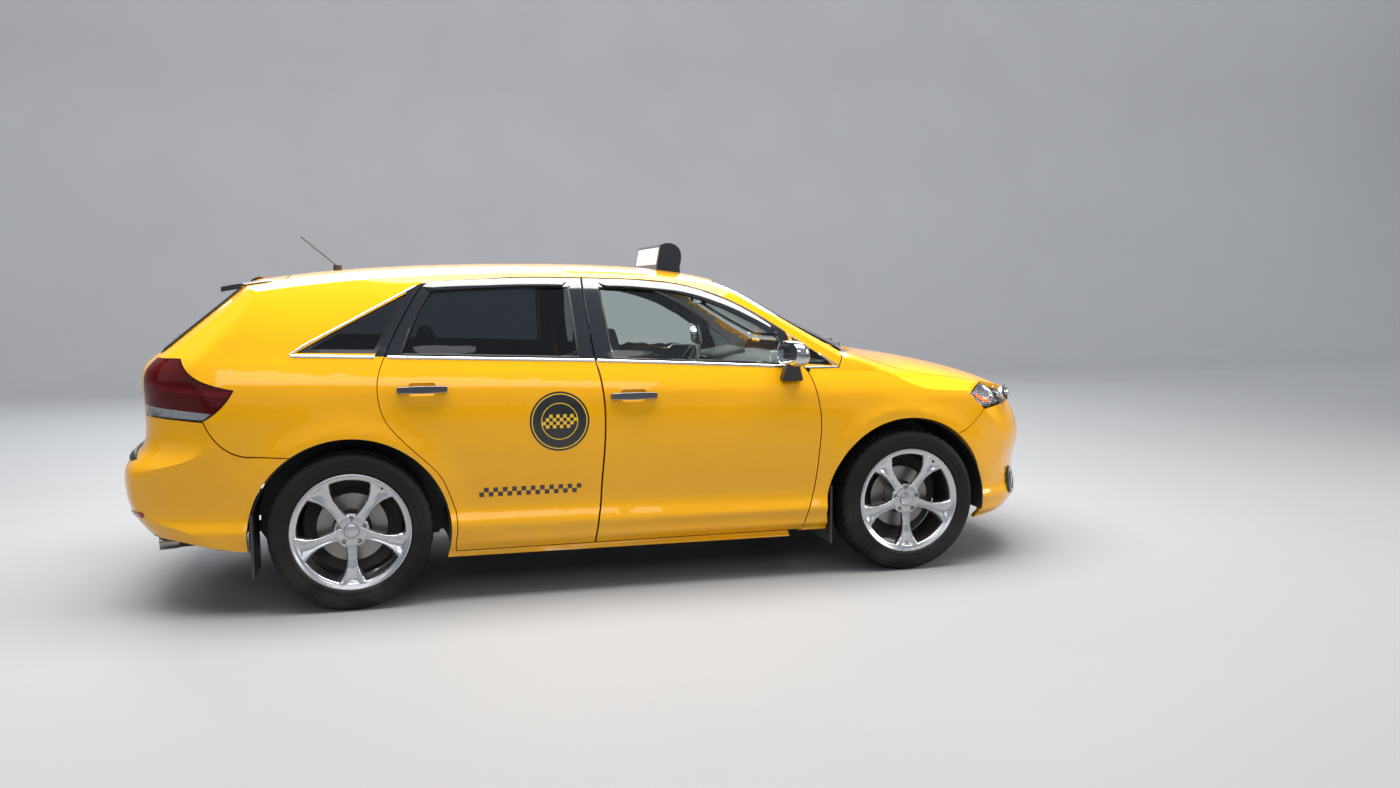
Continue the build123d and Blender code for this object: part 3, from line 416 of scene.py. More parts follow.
edited(spoke, bpy.ops.mesh.normals_make_consistent, inside=False)
if sum(face.normal.y for face in spoke.data.polygons) > 0:
    spoke.data.flip_normals()
applied(spoke, "SOLIDIFY", thickness=0.016, offset=-1)
applied(spoke, "SUBSURF", levels=1, render_levels=1)
spoke.data.materials.append(alloy)
bpy.ops.object.shade_smooth()

# Hub with its five nut wells. The nuts stand between the spokes, 36 degrees from the first of them
NUT_TURN, PITCH_TURN = 36, 72
hub = spun("hub",
           [(30, 0), (30, 72), (66, 80), (74, 78), (79, 72), (81, 62), (80, 36), (77, 33), (77, 0)], 80,
           alloy)
for i in range(5):
    turn = math.radians(NUT_TURN + PITCH_TURN * i)
    bpy.ops.mesh.primitive_cylinder_add(vertices=32, radius=0.0125, depth=0.06,
                                        location=(0.057 * math.sin(turn), -0.09, 0.057 * math.cos(turn)),
                                        rotation=(math.pi / 2, 0, 0))
    well = bpy.context.object
    applied(hub, "BOOLEAN", operation="DIFFERENCE", object=well, solver="EXACT")
    bpy.data.objects.remove(well)
applied(hub, "BEVEL", width=0.0009, segments=2, limit_method="ANGLE", angle_limit=math.radians(40))
bpy.ops.object.shade_smooth_by_angle(angle=math.radians(50))

# Nuts, cap and valve
nut_steel = finish("nut_steel", (0.30, 0.30, 0.31), (0.20, 0.19, 0.18), 0.3, grain=1500, bump=0.05,
                   Metallic=1.0)
bpy.ops.mesh.primitive_cylinder_add(vertices=6, radius=0.0098, depth=0.020, location=(0, -0.068, 0.057),
                                    rotation=(math.pi / 2, 0, 0))
nut = bpy.context.object
nut.name = "wheel_nut"
bpy.ops.object.transform_apply()
applied(nut, "BEVEL", width=0.0016, segments=3, limit_method="ANGLE", angle_limit=math.radians(50))
nut.data.materials.append(nut_steel)
cap = spun("cap", [(70, 0), (70, 30), (79, 32), (82.5, 31), (83.5, 28), (82.6, 26.5), (83.6, 24),
                   (85.2, 12), (85.6, 0)], 64, alloy)
bpy.ops.mesh.primitive_cylinder_add(vertices=16, radius=0.0042, depth=0.034,
                                    location=(0.0, -0.094, 0.236), rotation=(math.radians(74), 0, 0))
valve = bpy.context.object
valve.name = "valve"
bpy.ops.object.transform_apply()
valve.data.transform(Matrix.Rotation(math.radians(NUT_TURN), 4, "Y"))
applied(valve, "BEVEL", width=0.001, segments=2)
valve.data.materials.append(black_plastic)

# Brake disc: two ground iron cheeks with vanes between, on a bell
disc_iron = finish("ground_iron", (0.33, 0.32, 0.31), (0.24, 0.22, 0.20), 0.35, grain=800, bump=0.1,
                   Metallic=1.0)
disc = spun("disc", [
    (-46, 0), (-46, 84), (-42, 88), (-42, 160), (-32, 160), (-32, 96), (-24, 96), (-24, 160), (-14, 160),
    (-14, 88), (0, 88), (4, 84), (28, 66), (28, 0)], 96, disc_iron)

# Splash shield behind each disc: thin pressed steel on the knuckle or the rear carrier
shield = spun("shield", [(-60, 62), (-58, 176), (-66, 186), (-69, 224), (-71, 224), (-68, 185),
                         (-60, 175), (-62, 62), (-60, 62)], 72, underseal)


def copy_of(piece, name, turn=None):
    """A copy with a mesh of its own, turned or moved in its mesh."""
    other = placed(name, piece.data.copy())
    if turn is not None:
        other.data.transform(turn)
    return other


def joined(pieces, name):
    """Pieces made one object under a new name."""
    alone(pieces[0])
    for piece in pieces[1:]:
        piece.select_set(True)
    bpy.ops.object.join()
    pieces[0].name = name
    return pieces[0]


set_of = [rim_ring, hub, cap, valve]
for i in range(5):
    for model, turn in ((spoke, 180), (nut, NUT_TURN + 180)):
        set_of.append(copy_of(model, f"{model.name}_copy",
                              Matrix.Rotation(math.radians(turn + PITCH_TURN * i), 4, "Y")))
for piece in (spoke, nut):
    bpy.data.objects.remove(piece)
hub.data.transform(Matrix.Rotation(math.radians(180), 4, "Y"))
wheel_face = joined(set_of, "wheel_face")

# Tyre: bead, rounded sidewall with two raised bands and a rim guard, shoulder and four grooves
TREAD_STEPS = 144
tyre = spun("tyre_body", [
    (-104, 270), (-112, 273), (-118, 280), (-121, 296), (-122.5, 318), (-120, 338), (-114, 352),
    (-104, 361), (-92, 366.5), (-78, 368.6), (-62, 369.4), (-61, 362), (-53, 362), (-52, 369.6),
    (-24, 370), (-23, 362), (-14, 362), (-13, 370), (13, 370), (14, 362), (23, 362), (24, 370),
    (52, 369.6), (53, 362), (61, 362), (62, 369.4), (78, 368.6), (92, 366.5), (104, 361), (112, 354),
    (117, 345), (120, 338), (121.4, 332), (120.4, 330), (122, 318), (122.4, 306), (121.2, 304.6),
    (121.8, 298), (120, 288), (121.5, 284), (120.5, 279), (116, 275),
    (110, 272), (104, 270)], TREAD_STEPS, rubber)
alone(tyre)
bpy.ops.object.mode_set(mode="EDIT")
bpy.ops.mesh.select_all(action="DESELECT")
edit = bmesh.from_edit_mesh(tyre.data)
for face in edit.faces:
    middle = face.calc_center_median()
    step = round((math.atan2(middle.x, middle.z) / math.tau * TREAD_STEPS) - 0.5) % TREAD_STEPS
    radius = math.hypot(middle.x, middle.z)
    shoulder = 0.066 < abs(middle.y) < 0.104 and radius > 0.355
    inner_block = 0.026 < abs(middle.y) < 0.050 and radius > 0.366
    if (shoulder and step % 3 == 0) or (inner_block and step % 3 == (0 if middle.y > 0 else 1)):
        face.select = True
bmesh.update_edit_mesh(tyre.data)
bpy.ops.mesh.inset(thickness=0.0022, depth=-0.0055, use_even_offset=True)
bpy.ops.object.mode_set(mode="OBJECT")
bpy.ops.object.shade_smooth_by_angle(angle=math.radians(32))

for name, centre, sign in WHEELS:
    place = Matrix.Translation(centre) @ Matrix.Rotation(math.pi if sign > 0 else 0, 4, "Z")
    body = f"wheel_{name}"
    for model, piece_name, node, slot_name in (
            (wheel_face, f"alloy_wheel_{name}", f"rim_{name}", "alloy"),
            (tyre, f"road_tyre_{name}", f"tyre_{name}", "tyre")):
        piece = copy_of(model, piece_name, place)
        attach(piece, body)
        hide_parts(node)
    piece = copy_of(disc, f"brake_disc_{name}", place)
    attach(piece, body)
    piece = copy_of(shield, f"splash_shield_{name}", place)
    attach(piece, "body" if name.startswith("rear") else name.replace("front", "steer"))
for piece in (wheel_face, tyre, disc, shield):
    bpy.data.objects.remove(piece)

# Wing tops: the shoulder of each front wing that turns in beside the bonnet and ends below the
# windscreen pillar. Pressed steel, one with the wing in the real car, enamelled like it.
# Columns: x, half width where it leaves the wing, half width and height of the shoulder, height
# midway across the top, half width and height at the bonnet's edge
WING_TOP_Z = 1.0498
WING_TOP = (
    (1.066, 0.8940, 0.8676, 1.1282, 1.1427, 0.7350, 1.1523),
    (1.100, 0.8932, 0.8686, 1.1237, 1.1384, 0.7350, 1.1482),
    (1.140, 0.8923, 0.8705, 1.1155, 1.1323, 0.7245, 1.1430),
    (1.170, 0.8916, 0.8726, 1.1073, 1.1266, 0.7130, 1.1385),
    (1.200, 0.8910, 0.8751, 1.0977, 1.1164, 0.7364, 1.1287),
    (1.240, 0.8902, 0.8789, 1.0828, 1.1021, 0.7557, 1.1153),
    (1.280, 0.8895, 0.8831, 1.0662, 1.0866, 0.7710, 1.1008),
    (1.320, 0.8842, 0.8584, 1.0615, 1.0754, 0.7810, 1.0864),
    (1.360, 0.8513, 0.8355, 1.0564, 1.0648, 0.7880, 1.0721),
    (1.408, 0.8110, 0.8050, 1.0520, 1.0540, 0.7945, 1.0562),
)
ACROSS_TOP = (0.0, 0.06, 0.25, 0.5, 0.75, 1.0)
# Strip under the small front side window: x, half width at its foot and at its top
UNDER_WINDOW = ((0.912, 0.8973, 0.8902), (0.960, 0.8964, 0.8895), (1.010, 0.8953, 0.8888),
                (1.0665, 0.8939, 0.8882))
UNDER_WINDOW_Z = 1.0662


def panel_between(name, rows, material):
    """A thin panel skinned over rows of points, facing outwards, on the right side."""
    wide = len(rows[0])
    faces = [(i * wide + j, i * wide + j + 1, (i + 1) * wide + j + 1, (i + 1) * wide + j)
             for i in range(len(rows) - 1) for j in range(wide - 1)]
    piece = from_points(name, [point for row in rows for point in row], faces)
    if sum(face.normal.z - face.normal.y for face in piece.data.polygons) < 0:
        piece.data.flip_normals()
    piece.data.materials.append(material)
    return piece


shoulder_rows = []
for x, foot, out, out_z, middle_z, inner, inner_z in WING_TOP:
    row = [(x, -foot, WING_TOP_Z), (x, -(foot + out) / 2 - 0.001, (WING_TOP_Z + out_z) / 2)]
    for share in ACROSS_TOP:
        bow = middle_z - (out_z + inner_z) / 2
        row.append((x, -(out + (inner - out) * share),
                    out_z + (inner_z - out_z) * share + 4 * bow * share * (1 - share)))
    row.append((x, -inner + 0.001, inner_z - 0.022))
    shoulder_rows.append(row)
shoulder = panel_between("wing_shoulder", shoulder_rows, paint)
applied(shoulder, "SUBSURF", levels=2, render_levels=2, boundary_smooth="PRESERVE_CORNERS")
edited(shoulder, bpy.ops.mesh.bisect, plane_co=(1.070, 0, 1.066), plane_no=(-0.100, 0, 0.048),
       clear_outer=True)
under_rows = [[(x, -foot, WING_TOP_Z), (x, -top, UNDER_WINDOW_Z)] for x, foot, top in UNDER_WINDOW]
under = panel_between("under_window", under_rows, paint)
wing_top = joined([shoulder, under], "wing_top_right")
applied(wing_top, "SOLIDIFY", thickness=0.003, offset=-1)
bpy.ops.object.shade_smooth_by_angle(angle=math.radians(40))
mirrored = copy_of(wing_top, "wing_top_left", Matrix.Scale(-1, 4, (0, 1, 0)))
mirrored.data.flip_normals()
for piece in (wing_top, mirrored):
    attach(piece, "body")

# Wheel well aprons: the inner wall of each wheel housing below its liner, down to the frame rails.
# Pressed steel under sound-deadening coat, fixed to the body.
APRON_Y = {"front": 0.468, "rear": 0.600}
APRON_OUTLINE = [(-0.425, 0.455), (-0.430, 0.330), (-0.395, 0.275), (0.395, 0.275), (0.430, 0.330),
                 (0.425, 0.455)]
for name, centre, sign in WHEELS:
    end = name.split("_")[0]
    outline = [(centre.x + x, sign * APRON_Y[end], z) for x, z in APRON_OUTLINE]
    apron = from_points(f"apron_{name}", outline, [tuple(range(len(outline)))])
    apron.data.materials.append(underseal)
    applied(apron, "SOLIDIFY", thickness=0.004, offset=0)
    applied(apron, "BEVEL", width=0.0015, segments=2, limit_method="ANGLE", angle_limit=math.radians(40))
    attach(apron, "body")

# Bright strip along the belt and round the quarter glasses: bright-finished metal pressed over the
# panel's edge, in lengths that end at the shut lines, each riding on its own panel.
bright = finish("bright_strip", (0.72, 0.73, 0.75), (0.66, 0.67, 0.69), 0.12, grain=600, bump=0.0,
                Metallic=1.0, rough_spread=0.03)
seal_rubber = finish("seal_rubber", (0.010, 0.010, 0.011), (0.016, 0.016, 0.016), 0.55, grain=900,
                     bump=0.1)


def spline_points(points, count, closed=False):
    """Evenly spaced points on a smooth curve through (x, z) points."""
    ends = points[-1:] + points + points[:2] if closed else [points[0]] + points + [points[-1]]
    dense = []
    for a, b, c, d in zip(ends, ends[1:], ends[2:], ends[3:]):
        for i in range(24):
            t = i / 24
            dense.append(tuple(0.5 * (2 * q + (r - p) * t + (2 * p - 5 * q + 4 * r - s) * t * t
                                      + (3 * q - p - 3 * r + s) * t ** 3)
                               for p, q, r, s in zip(a, b, c, d)))
    if not closed:
        dense.append(tuple(points[-1]))
    lengths = [0]
    for p, q in zip(dense, dense[1:]):
        lengths.append(lengths[-1] + math.dist(p, q))
    result, j = [], 0
    for i in range(count):
        want = lengths[-1] * i / (count - 1)
        while j < len(lengths) - 2 and lengths[j + 1] < want:
            j += 1
        share = (want - lengths[j]) / max(lengths[j + 1] - lengths[j], 1e-9)
        result.append(tuple(p + (q - p) * share for p, q in zip(dense[j], dense[j + 1])))
    return result


# Where a view's two numbers go, and the way it looks: (place of the first, of the second, direction)
LOOKS = {"right": (0, 2, Vector((0, 1, 0))), "left": (0, 2, Vector((0, -1, 0))),
         "front": (1, 2, Vector((-1, 0, 0))), "rear": (1, 2, Vector((1, 0, 0))),
         "top": (0, 1, Vector((0, 0, -1))), "below": (0, 1, Vector((0, 0, 1)))}


def skin_point(panels, look, a, b):
    """The outermost point of the panels at (a, b) of a view, in metres, and its outward normal."""
    first, second, ahead = LOOKS[look]
    start = -ahead * 3.2
    start[first], start[second] = a, b
    best = None
    for panel in panels:
        hit, place, normal, _ = panel.ray_cast(start, ahead)
        if hit and (best is None or (place - best[0]).dot(ahead) < 0):
            best = (place, normal if normal.dot(ahead) < 0 else -normal)
    return best


def laid_strip(name, points, section, panels, look, material, count=60, closed=False, tips=True, taper=0):
    """A strip laid on panels along a view's points in millimetres. Its section is (across, out) points
    in millimetres, across being upwards for a strip that runs forwards or to the car's left. The
    section shrinks to nothing over taper millimetres at both ends."""
    path = spline_points([(a / 1000, b / 1000) for a, b in points], count, closed)
    if closed:
        path = path[:-1]
    spots = [spot for spot in (skin_point(panels, look, a, b) for a, b in path) if spot]
    last = len(spots) - 1
    flip = -1 if look in ("left", "rear", "below") else 1
    run = [0]
    for (p, _), (q, _) in zip(spots, spots[1:]):
        run.append(run[-1] + (q - p).length)
    rings = []
    for i, (place, _) in enumerate(spots):
        before = spots[i - 1][0] if i or closed else place
        after = spots[(i + 1) % len(spots)][0] if i < last or closed else place
        along = (after - before).normalized()
        near = [k % len(spots) for k in range(i - 2, i + 3) if closed or 0 <= k <= last]
        out = sum((spots[k][1] for k in near), Vector()).normalized()
        across = (out.cross(along) * flip).normalized()
        out = (along.cross(across) * flip).normalized()
        size = 1.0
        if taper:
            size = min(1.0, max(0.06, min(run[i], run[-1] - run[i]) * 1000 / taper))
        rings.append([place + across * (a * size / 1000) + out * (o * (size if o > 0 else 1) / 1000)
                      for a, o in section])
    width = len(section)
    faces = []
    for i in range(len(rings) - (0 if closed else 1)):
        j = (i + 1) % len(rings)
        faces += [(i * width + k, i * width + (k + 1) % width, j * width + (k + 1) % width, j * width + k)
                  for k in range(width)]
    if tips and not closed:
        faces += [tuple(range(width)),
                  tuple((len(rings) - 1) * width + k for k in reversed(range(width)))]
    piece = from_points(name, [point for ring in rings for point in ring], faces)
    edited(piece, bpy.ops.mesh.normals_make_consistent, inside=False)
    bpy.ops.object.shade_smooth_by_angle(angle=math.radians(40))
    piece.data.materials.append(material)
    return piece


def trim(name, points, section, panels, look, material, count, body, slot, **more):
    """A laid strip that a body carries."""
    strip = laid_strip(name, points, section, panels, look, material, count, **more)
    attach(strip, body)
    return strip


BRIGHT_SECTION = [(-7, -3), (-7, 1.2), (-5.5, 2.8), (0, 3.6), (5.5, 2.8), (7, 1.2), (7, -3)]
THIN_SECTION = [(-4, -3), (-4, 1.2), (-2.8, 2.4), (0, 2.9), (2.8, 2.4), (4, 1.2), (4, -3)]
# (name, body part, panel, points, section, count)
STRIPS = (
    ("belt_strip_quarter", "body", "body_side", [(-1566, 1183), (-1400, 1177), (-1203, 1170)],
     BRIGHT_SECTION, 30),
    ("belt_strip_rear", "door_rear", "door_rear", [(-1160, 1169), (-700, 1152), (-188, 1133)],
     BRIGHT_SECTION, 60),
    ("belt_strip_front", "door_front", "door_front", [(-172, 1132), (400, 1102), (862, 1077)],
     BRIGHT_SECTION, 60),
    ("quarter_bright", "body", "body_side",
     [(-1570, 1188), (-1495, 1236), (-1304, 1337), (-1097, 1448), (-1010, 1494)], THIN_SECTION, 50),
    ("front_quarter_bright", "body", "body_side",
     [(886, 1075), (980, 1070), (1052, 1070), (1062, 1080), (1000, 1118), (900, 1183), (812, 1240)],
     THIN_SECTION, 50),
)
for hand, _ in HANDS:
    for name, part, panel_name, points, section, count in STRIPS:
        trim(f"{name}_{hand}", points, section, [skin_of(f"{panel_name}_{hand}")], hand, bright, count,
             part if part == "body" else f"{part}_{hand}", "dark_chrome")

# Rain visors and window seals: a dark acrylic channel along the head of each door window, bowed
# outwards and stuck to the frame, and a black rubber lip round the rest of the glass.
visor_acrylic = finish("visor_acrylic", (0.004, 0.005, 0.007), (0.008, 0.010, 0.014), 0.05, grain=500,
                       bump=0.0, Coat_Weight=1.0, Coat_Roughness=0.02)
VISOR_SECTION = [(-33, 1), (-36, 9), (-35, 11.5), (-31, 12.5), (-8, 11), (12, 7.5), (21, 3.5), (23, 0.5),
                 (18, -3), (-20, -3)]
SEAL_SECTION = [(-5, -6), (-5, 1.0), (-3, 2.6), (2, 2.6), (5, 1.2), (5, -6)]
VISORS = (
    ("rear", [(-1090, 1388), (-1010, 1476), (-930, 1497), (-746, 1506), (-507, 1515), (-290, 1513)]),
    ("front",
     [(-136, 1508), (-30, 1507), (101, 1498), (280, 1474), (470, 1411), (630, 1330), (760, 1247)]),
)
SEALS = (
    ("rear", [(-1062, 1240), (-1083, 1186), (-1076, 1180), (-880, 1173), (-560, 1161), (-275, 1150),
              (-264, 1156), (-276, 1320), (-287, 1474), (-296, 1485), (-507, 1487), (-720, 1481),
              (-840, 1473), (-932, 1463), (-950, 1452), (-988, 1402), (-1030, 1320)]),
    ("front", [(-104, 1190), (-98, 1150), (-88, 1141), (200, 1127), (560, 1110), (780, 1099), (790, 1106),
               (772, 1170), (752, 1226), (744, 1234), (680, 1274), (600, 1321), (440, 1397), (265, 1451),
               (101, 1471), (-20, 1479), (-124, 1483), (-136, 1474), (-120, 1340)]),
)
for hand, _ in HANDS:
    for end, points in VISORS:
        trim(f"rain_visor_{end}_{hand}", points, VISOR_SECTION, [skin_of(f"door_{end}_{hand}")], hand,
             visor_acrylic, 60, f"door_{end}_{hand}", "gloss_black", taper=30)
    for end, points in SEALS:
        panels = [skin_of(f"door_{end}_{hand}"), skin_of(f"door_glass_{end}_{hand}")]
        trim(f"window_seal_{end}_{hand}", points, SEAL_SECTION, panels, hand, seal_rubber, 90,
             f"door_{end}_{hand}", "black_plastic", closed=True)

# Door handles: a dark-chromed pull bar on each door, bowed, with its ends drawn in to the skin.
# Moulded, plated and bolted through the door skin.
dark_chrome = finish("dark_chrome", (0.33, 0.34, 0.36), (0.28, 0.29, 0.31), 0.10, grain=500, bump=0.0,
                     Metallic=1.0, rough_spread=0.03)
HANDLE_PLACES = (("front", -0.005, 0.962), ("rear", -0.995, 1.020))


def block(name, size, place=(0, 0, 0)):
    """A box with sharp edges, centred on place."""
    bpy.ops.mesh.primitive_cube_add(size=1, location=place)
    piece = bpy.context.object
    piece.name = name
    piece.scale = size
    bpy.ops.object.transform_apply()
    return piece


for hand, sign in HANDS:
    for end, x, z in HANDLE_PLACES:
        low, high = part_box(f"handle_{end}_{hand}")
        outer = low.y if sign < 0 else high.y
        bar = block(f"pull_bar_{end}_{hand}", (0.226, 0.020, 0.034), (x, outer - sign * 0.010, z))
        edited(bar, bpy.ops.mesh.subdivide, number_cuts=7)
        for vertex in bar.data.vertices:
            share = (vertex.co.x - x) / 0.116
            vertex.co.y -= sign * 0.011 * share * share
            vertex.co.z = z + (vertex.co.z - z) * (1 - 0.22 * share * share)
            if abs(share) > 0.55:
                reach = (abs(share) - 0.55) / 0.45
                if sign * (vertex.co.y - outer) < -0.014:
                    vertex.co.y -= sign * 0.014 * reach
        applied(bar, "SUBSURF", levels=2, render_levels=2)
        bpy.ops.object.shade_smooth()
        bar.data.materials.append(dark_chrome)
        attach(bar, f"door_{end}_{hand}")
        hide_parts(f"handle_{end}_{hand}")

# Door mirrors: a chromed shell on a black foot, with the glass set back in its open rear. Moulded and
# plated plastic, silvered glass, bolted to the door.
bright_chrome = finish("bright_chrome", (0.62, 0.63, 0.65), (0.55, 0.56, 0.58), 0.05, grain=500, bump=0.0,
                       Metallic=1.0, rough_spread=0.02)
mirror_silver = finish("mirror_silver", (0.85, 0.86, 0.88), (0.82, 0.83, 0.85), 0.03, grain=500, bump=0.0,
                       Metallic=1.0, rough_spread=0.01)
MIRROR_Z = 1.148
MIRROR_SLANT = 0.22


def squared(value, power):
    """A coordinate of the unit sphere pushed outwards, for a form between a sphere and a box."""
    return math.copysign(abs(value) ** power, value)


for hand, sign in HANDS:
    low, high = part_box(f"mirror_{hand}")
    middle_y = (low.y if sign < 0 else high.y) - sign * 0.108
    bpy.ops.mesh.primitive_uv_sphere_add(segments=48, ring_count=24, radius=1, location=(0, 0, 0))
    shell = bpy.context.object
    shell.name = f"mirror_shell_{hand}"
    for vertex in shell.data.vertices:
        x, y, z = vertex.co
        x, y, z = squared(x, 0.72), squared(y, 0.62), squared(z, 0.66)
        x = x * (0.060 if x > 0 else 0.050)
        x += 0.014 * y * sign
        vertex.co = (0.784 + x - 0.004 * z, middle_y + y * 0.104,
                     MIRROR_Z + z * (0.066 - 0.008 * y * sign))
    edited(shell, bpy.ops.mesh.bisect, plane_co=(0.752, middle_y, 0),
           plane_no=(-1, MIRROR_SLANT * sign, 0), clear_outer=True)
    applied(shell, "SOLIDIFY", thickness=0.004, offset=-1)
    bpy.ops.object.shade_smooth_by_angle(angle=math.radians(40))
    shell.data.materials.append(bright_chrome)
    bpy.ops.mesh.primitive_uv_sphere_add(segments=40, ring_count=20, radius=1, location=(0, 0, 0))
    pane = bpy.context.object
    pane.name = f"mirror_pane_{hand}"
    for vertex in pane.data.vertices:
        x, y, z = vertex.co
        y, z = squared(y, 0.62), squared(z, 0.66)
        place_y = middle_y + y * 0.094
        back = MIRROR_SLANT * sign * (place_y - middle_y)
        vertex.co = (0.757 + back + x * 0.004, place_y, MIRROR_Z + z * 0.058)
    alone(pane)
    bpy.ops.object.shade_smooth()
    pane.data.materials.append(mirror_silver)
    foot = block(f"mirror_foot_{hand}", (0.116, 0.070, 0.100), (0.786, sign * 0.936, 1.060))
    for vertex in foot.data.vertices:
        if vertex.co.z > 1.06:
            vertex.co.x = 0.780 + (vertex.co.x - 0.786) * 0.50
            vertex.co.y += sign * 0.055
            vertex.co.z -= 0.006
        else:
            vertex.co.x += 0.014
            vertex.co.y -= sign * 0.012
    edited(foot, bpy.ops.mesh.subdivide, number_cuts=3)
    applied(foot, "SUBSURF", levels=2, render_levels=2)
    bpy.ops.object.shade_smooth()
    foot.data.materials.append(black_plastic)
    for piece in (shell, pane, foot):
        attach(piece, f"door_front_{hand}")
    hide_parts(f"mirror_{hand}")

# Lamps: moulded clear and red covers over rippled, plated bowls. The bowl is the cover's own form drawn
# inwards; the head lamp has two projector barrels and an amber side reflector, and the tail lamp a clear
# foot and a silver band over it.
lamp_plate = finish("lamp_plating", (0.70, 0.71, 0.73), (0.55, 0.56, 0.58), 0.14, grain=90, bump=0.5,
                    distance=0.004, Metallic=1.0)
lamp_black = finish("lamp_housing", (0.010, 0.010, 0.011), (0.02, 0.02, 0.02), 0.35, grain=900, bump=0.1)
amber = finish("amber_reflector", (0.90, 0.16, 0.005), (0.75, 0.11, 0.004), 0.18, grain=260, bump=0.6,
               distance=0.002, Coat_Weight=1.0)
red_inner = finish("red_reflector", (0.36, 0.002, 0.006), (0.14, 0.001, 0.004), 0.2, grain=160, bump=0.7,
                   distance=0.003, Coat_Weight=1.0)
lamp_clear = glass("lamp_cover", (0.97, 0.98, 1.0))
lamp_red = glass("red_lens", (0.46, 0.006, 0.020))


def drawn_in(piece, name, inset, material):
    """A copy of a cover drawn inwards along its normals, for the bowl inside it."""
    inner = copy_of(piece, name)
    edited(inner, bpy.ops.transform.shrink_fatten, value=-inset)
    inner.data.materials.clear()
    inner.data.materials.append(material)
    return inner


covers = skinned("headlamps", lamp_clear, suffix="_cover")
bowls = drawn_in(covers, "headlamp_bowls", 0.009, lamp_plate)
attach(bowls, "body")
lenses = skinned("tail_lamps", lamp_red, suffix="_lens")
reflectors = drawn_in(lenses, "tail_lamp_bowls", 0.008, red_inner)
reflectors.data.materials.append(lamp_plate)
# The tail lamp's bands: tops of the clear foot, and foot and top of the silver band, at x -2.0 m. The
# lines between them fall by TAIL_SLOPE forwards
TAIL_FOOT, TAIL_BAND, TAIL_BAND_TOP = 0.940, 1.020, 1.042
TAIL_SLOPE = 0.08
for piece in (lenses, reflectors):
    cut_along(piece,
              [((-2.0, 0, level), (TAIL_SLOPE, 0, 1)) for level in (TAIL_FOOT, TAIL_BAND, TAIL_BAND_TOP)])
lenses.data.materials.append(lamp_clear)
for piece, banded in ((lenses, False), (reflectors, True)):
    for face in piece.data.polygons:
        height = face.center.z + TAIL_SLOPE * (face.center.x + 2.0)
        if height < TAIL_FOOT or (banded and TAIL_BAND < height < TAIL_BAND_TOP):
            face.material_index = 1
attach(reflectors, "body")

# Projector barrels and the amber side reflectors of the head lamps
for hand, sign in HANDS:
    pieces = []
    for x, y, z, size in ((2.105, 0.700, 0.893, 0.034), (2.050, 0.780, 0.900, 0.027)):
        bpy.ops.mesh.primitive_uv_sphere_add(segments=32, ring_count=16, radius=size,
                                             location=(x, sign * y, z))
        ball = bpy.context.object
        ball.data.materials.append(lamp_plate)
        bpy.ops.mesh.primitive_torus_add(major_radius=size * 1.12, minor_radius=size * 0.16,
                                         major_segments=40, minor_segments=10,
                                         location=(x + 0.012, sign * (y + 0.006), z + 0.004),
                                         rotation=(0, math.radians(75), math.radians(sign * 28)))
        ring = bpy.context.object
        ring.data.materials.append(lamp_black)
        pieces += [ball, ring]
    for piece in pieces:
        alone(piece)
        bpy.ops.object.transform_apply()
        bpy.ops.object.shade_smooth()
    barrels = joined(pieces, f"lamp_barrels_{hand}")
    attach(barrels, "body")
AMBER_SECTION = [(-13, -4), (-15, 0.4), (-10, 1.6), (10, 1.6), (15, 0.4), (13, -4)]
for hand, _ in HANDS:
    trim(f"amber_reflector_{hand}", [(1838, 908), (1880, 886), (1925, 872), (1965, 868)], AMBER_SECTION,
         [covers], hand, amber, 24, "body", "lamp_clear", taper=22)

# Front: a satin bar and three black ones across the upper grille, a mesh of fins in the lower intake,
# and a blank plate on its holder. Moulded plastic, plated bar, pressed aluminium plate.
front_skin = [skin_of("front_bumper"), skin_of("grille")]
satin = finish("satin_bar", (0.45, 0.46, 0.48), (0.36, 0.37, 0.39), 0.2, grain=700, bump=0.02,
               Metallic=1.0)
plate_white = finish("blank_plate", (0.74, 0.75, 0.74), (0.68, 0.69, 0.68), 0.38, grain=500, bump=0.05,
                     dust=0.2, dust_top=1.2)
BAR_SECTION = [(-9, -6), (-10, 2), (-6, 8), (3, 10), (9, 5), (9, -6)]
FIN_SECTION = [(-4, -4), (-4, 4), (0, 7), (4, 4), (4, -4)]
UPPER_BARS = ((826, 440), (793, 456), (757, 452), (722, 436))
LOWER_BARS = ((452, 462), (424, 474), (396, 486), (368, 498), (342, 508))


def level_line(z, reach):
    """Five points across the car at one height, in millimetres."""
    return [(reach * share, z) for share in (-1, -0.5, 0, 0.5, 1)]


for number, (z, reach) in enumerate(UPPER_BARS):
    material, slot_name = (satin, "dark_chrome") if number == 0 else (gloss_black, "gloss_black")
    trim(f"grille_bar_{number}", level_line(z, reach), BAR_SECTION, front_skin, "front", material, 60,
         "body", slot_name, taper=14)
for number, (z, reach) in enumerate(LOWER_BARS):
    trim(f"intake_fin_{number}", level_line(z, reach), FIN_SECTION, front_skin, "front", black_plastic,
         60, "body", "black_plastic", taper=10)
fins = []
for number in range(-15, 16):
    y = number * 30
    fins.append(laid_strip(f"intake_rib_{number}", [(y, 334), (y, 400), (y, 466)], FIN_SECTION,
                           front_skin, "front", black_plastic, 8))
fin_set = joined(fins, "intake_ribs")
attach(fin_set, "body")


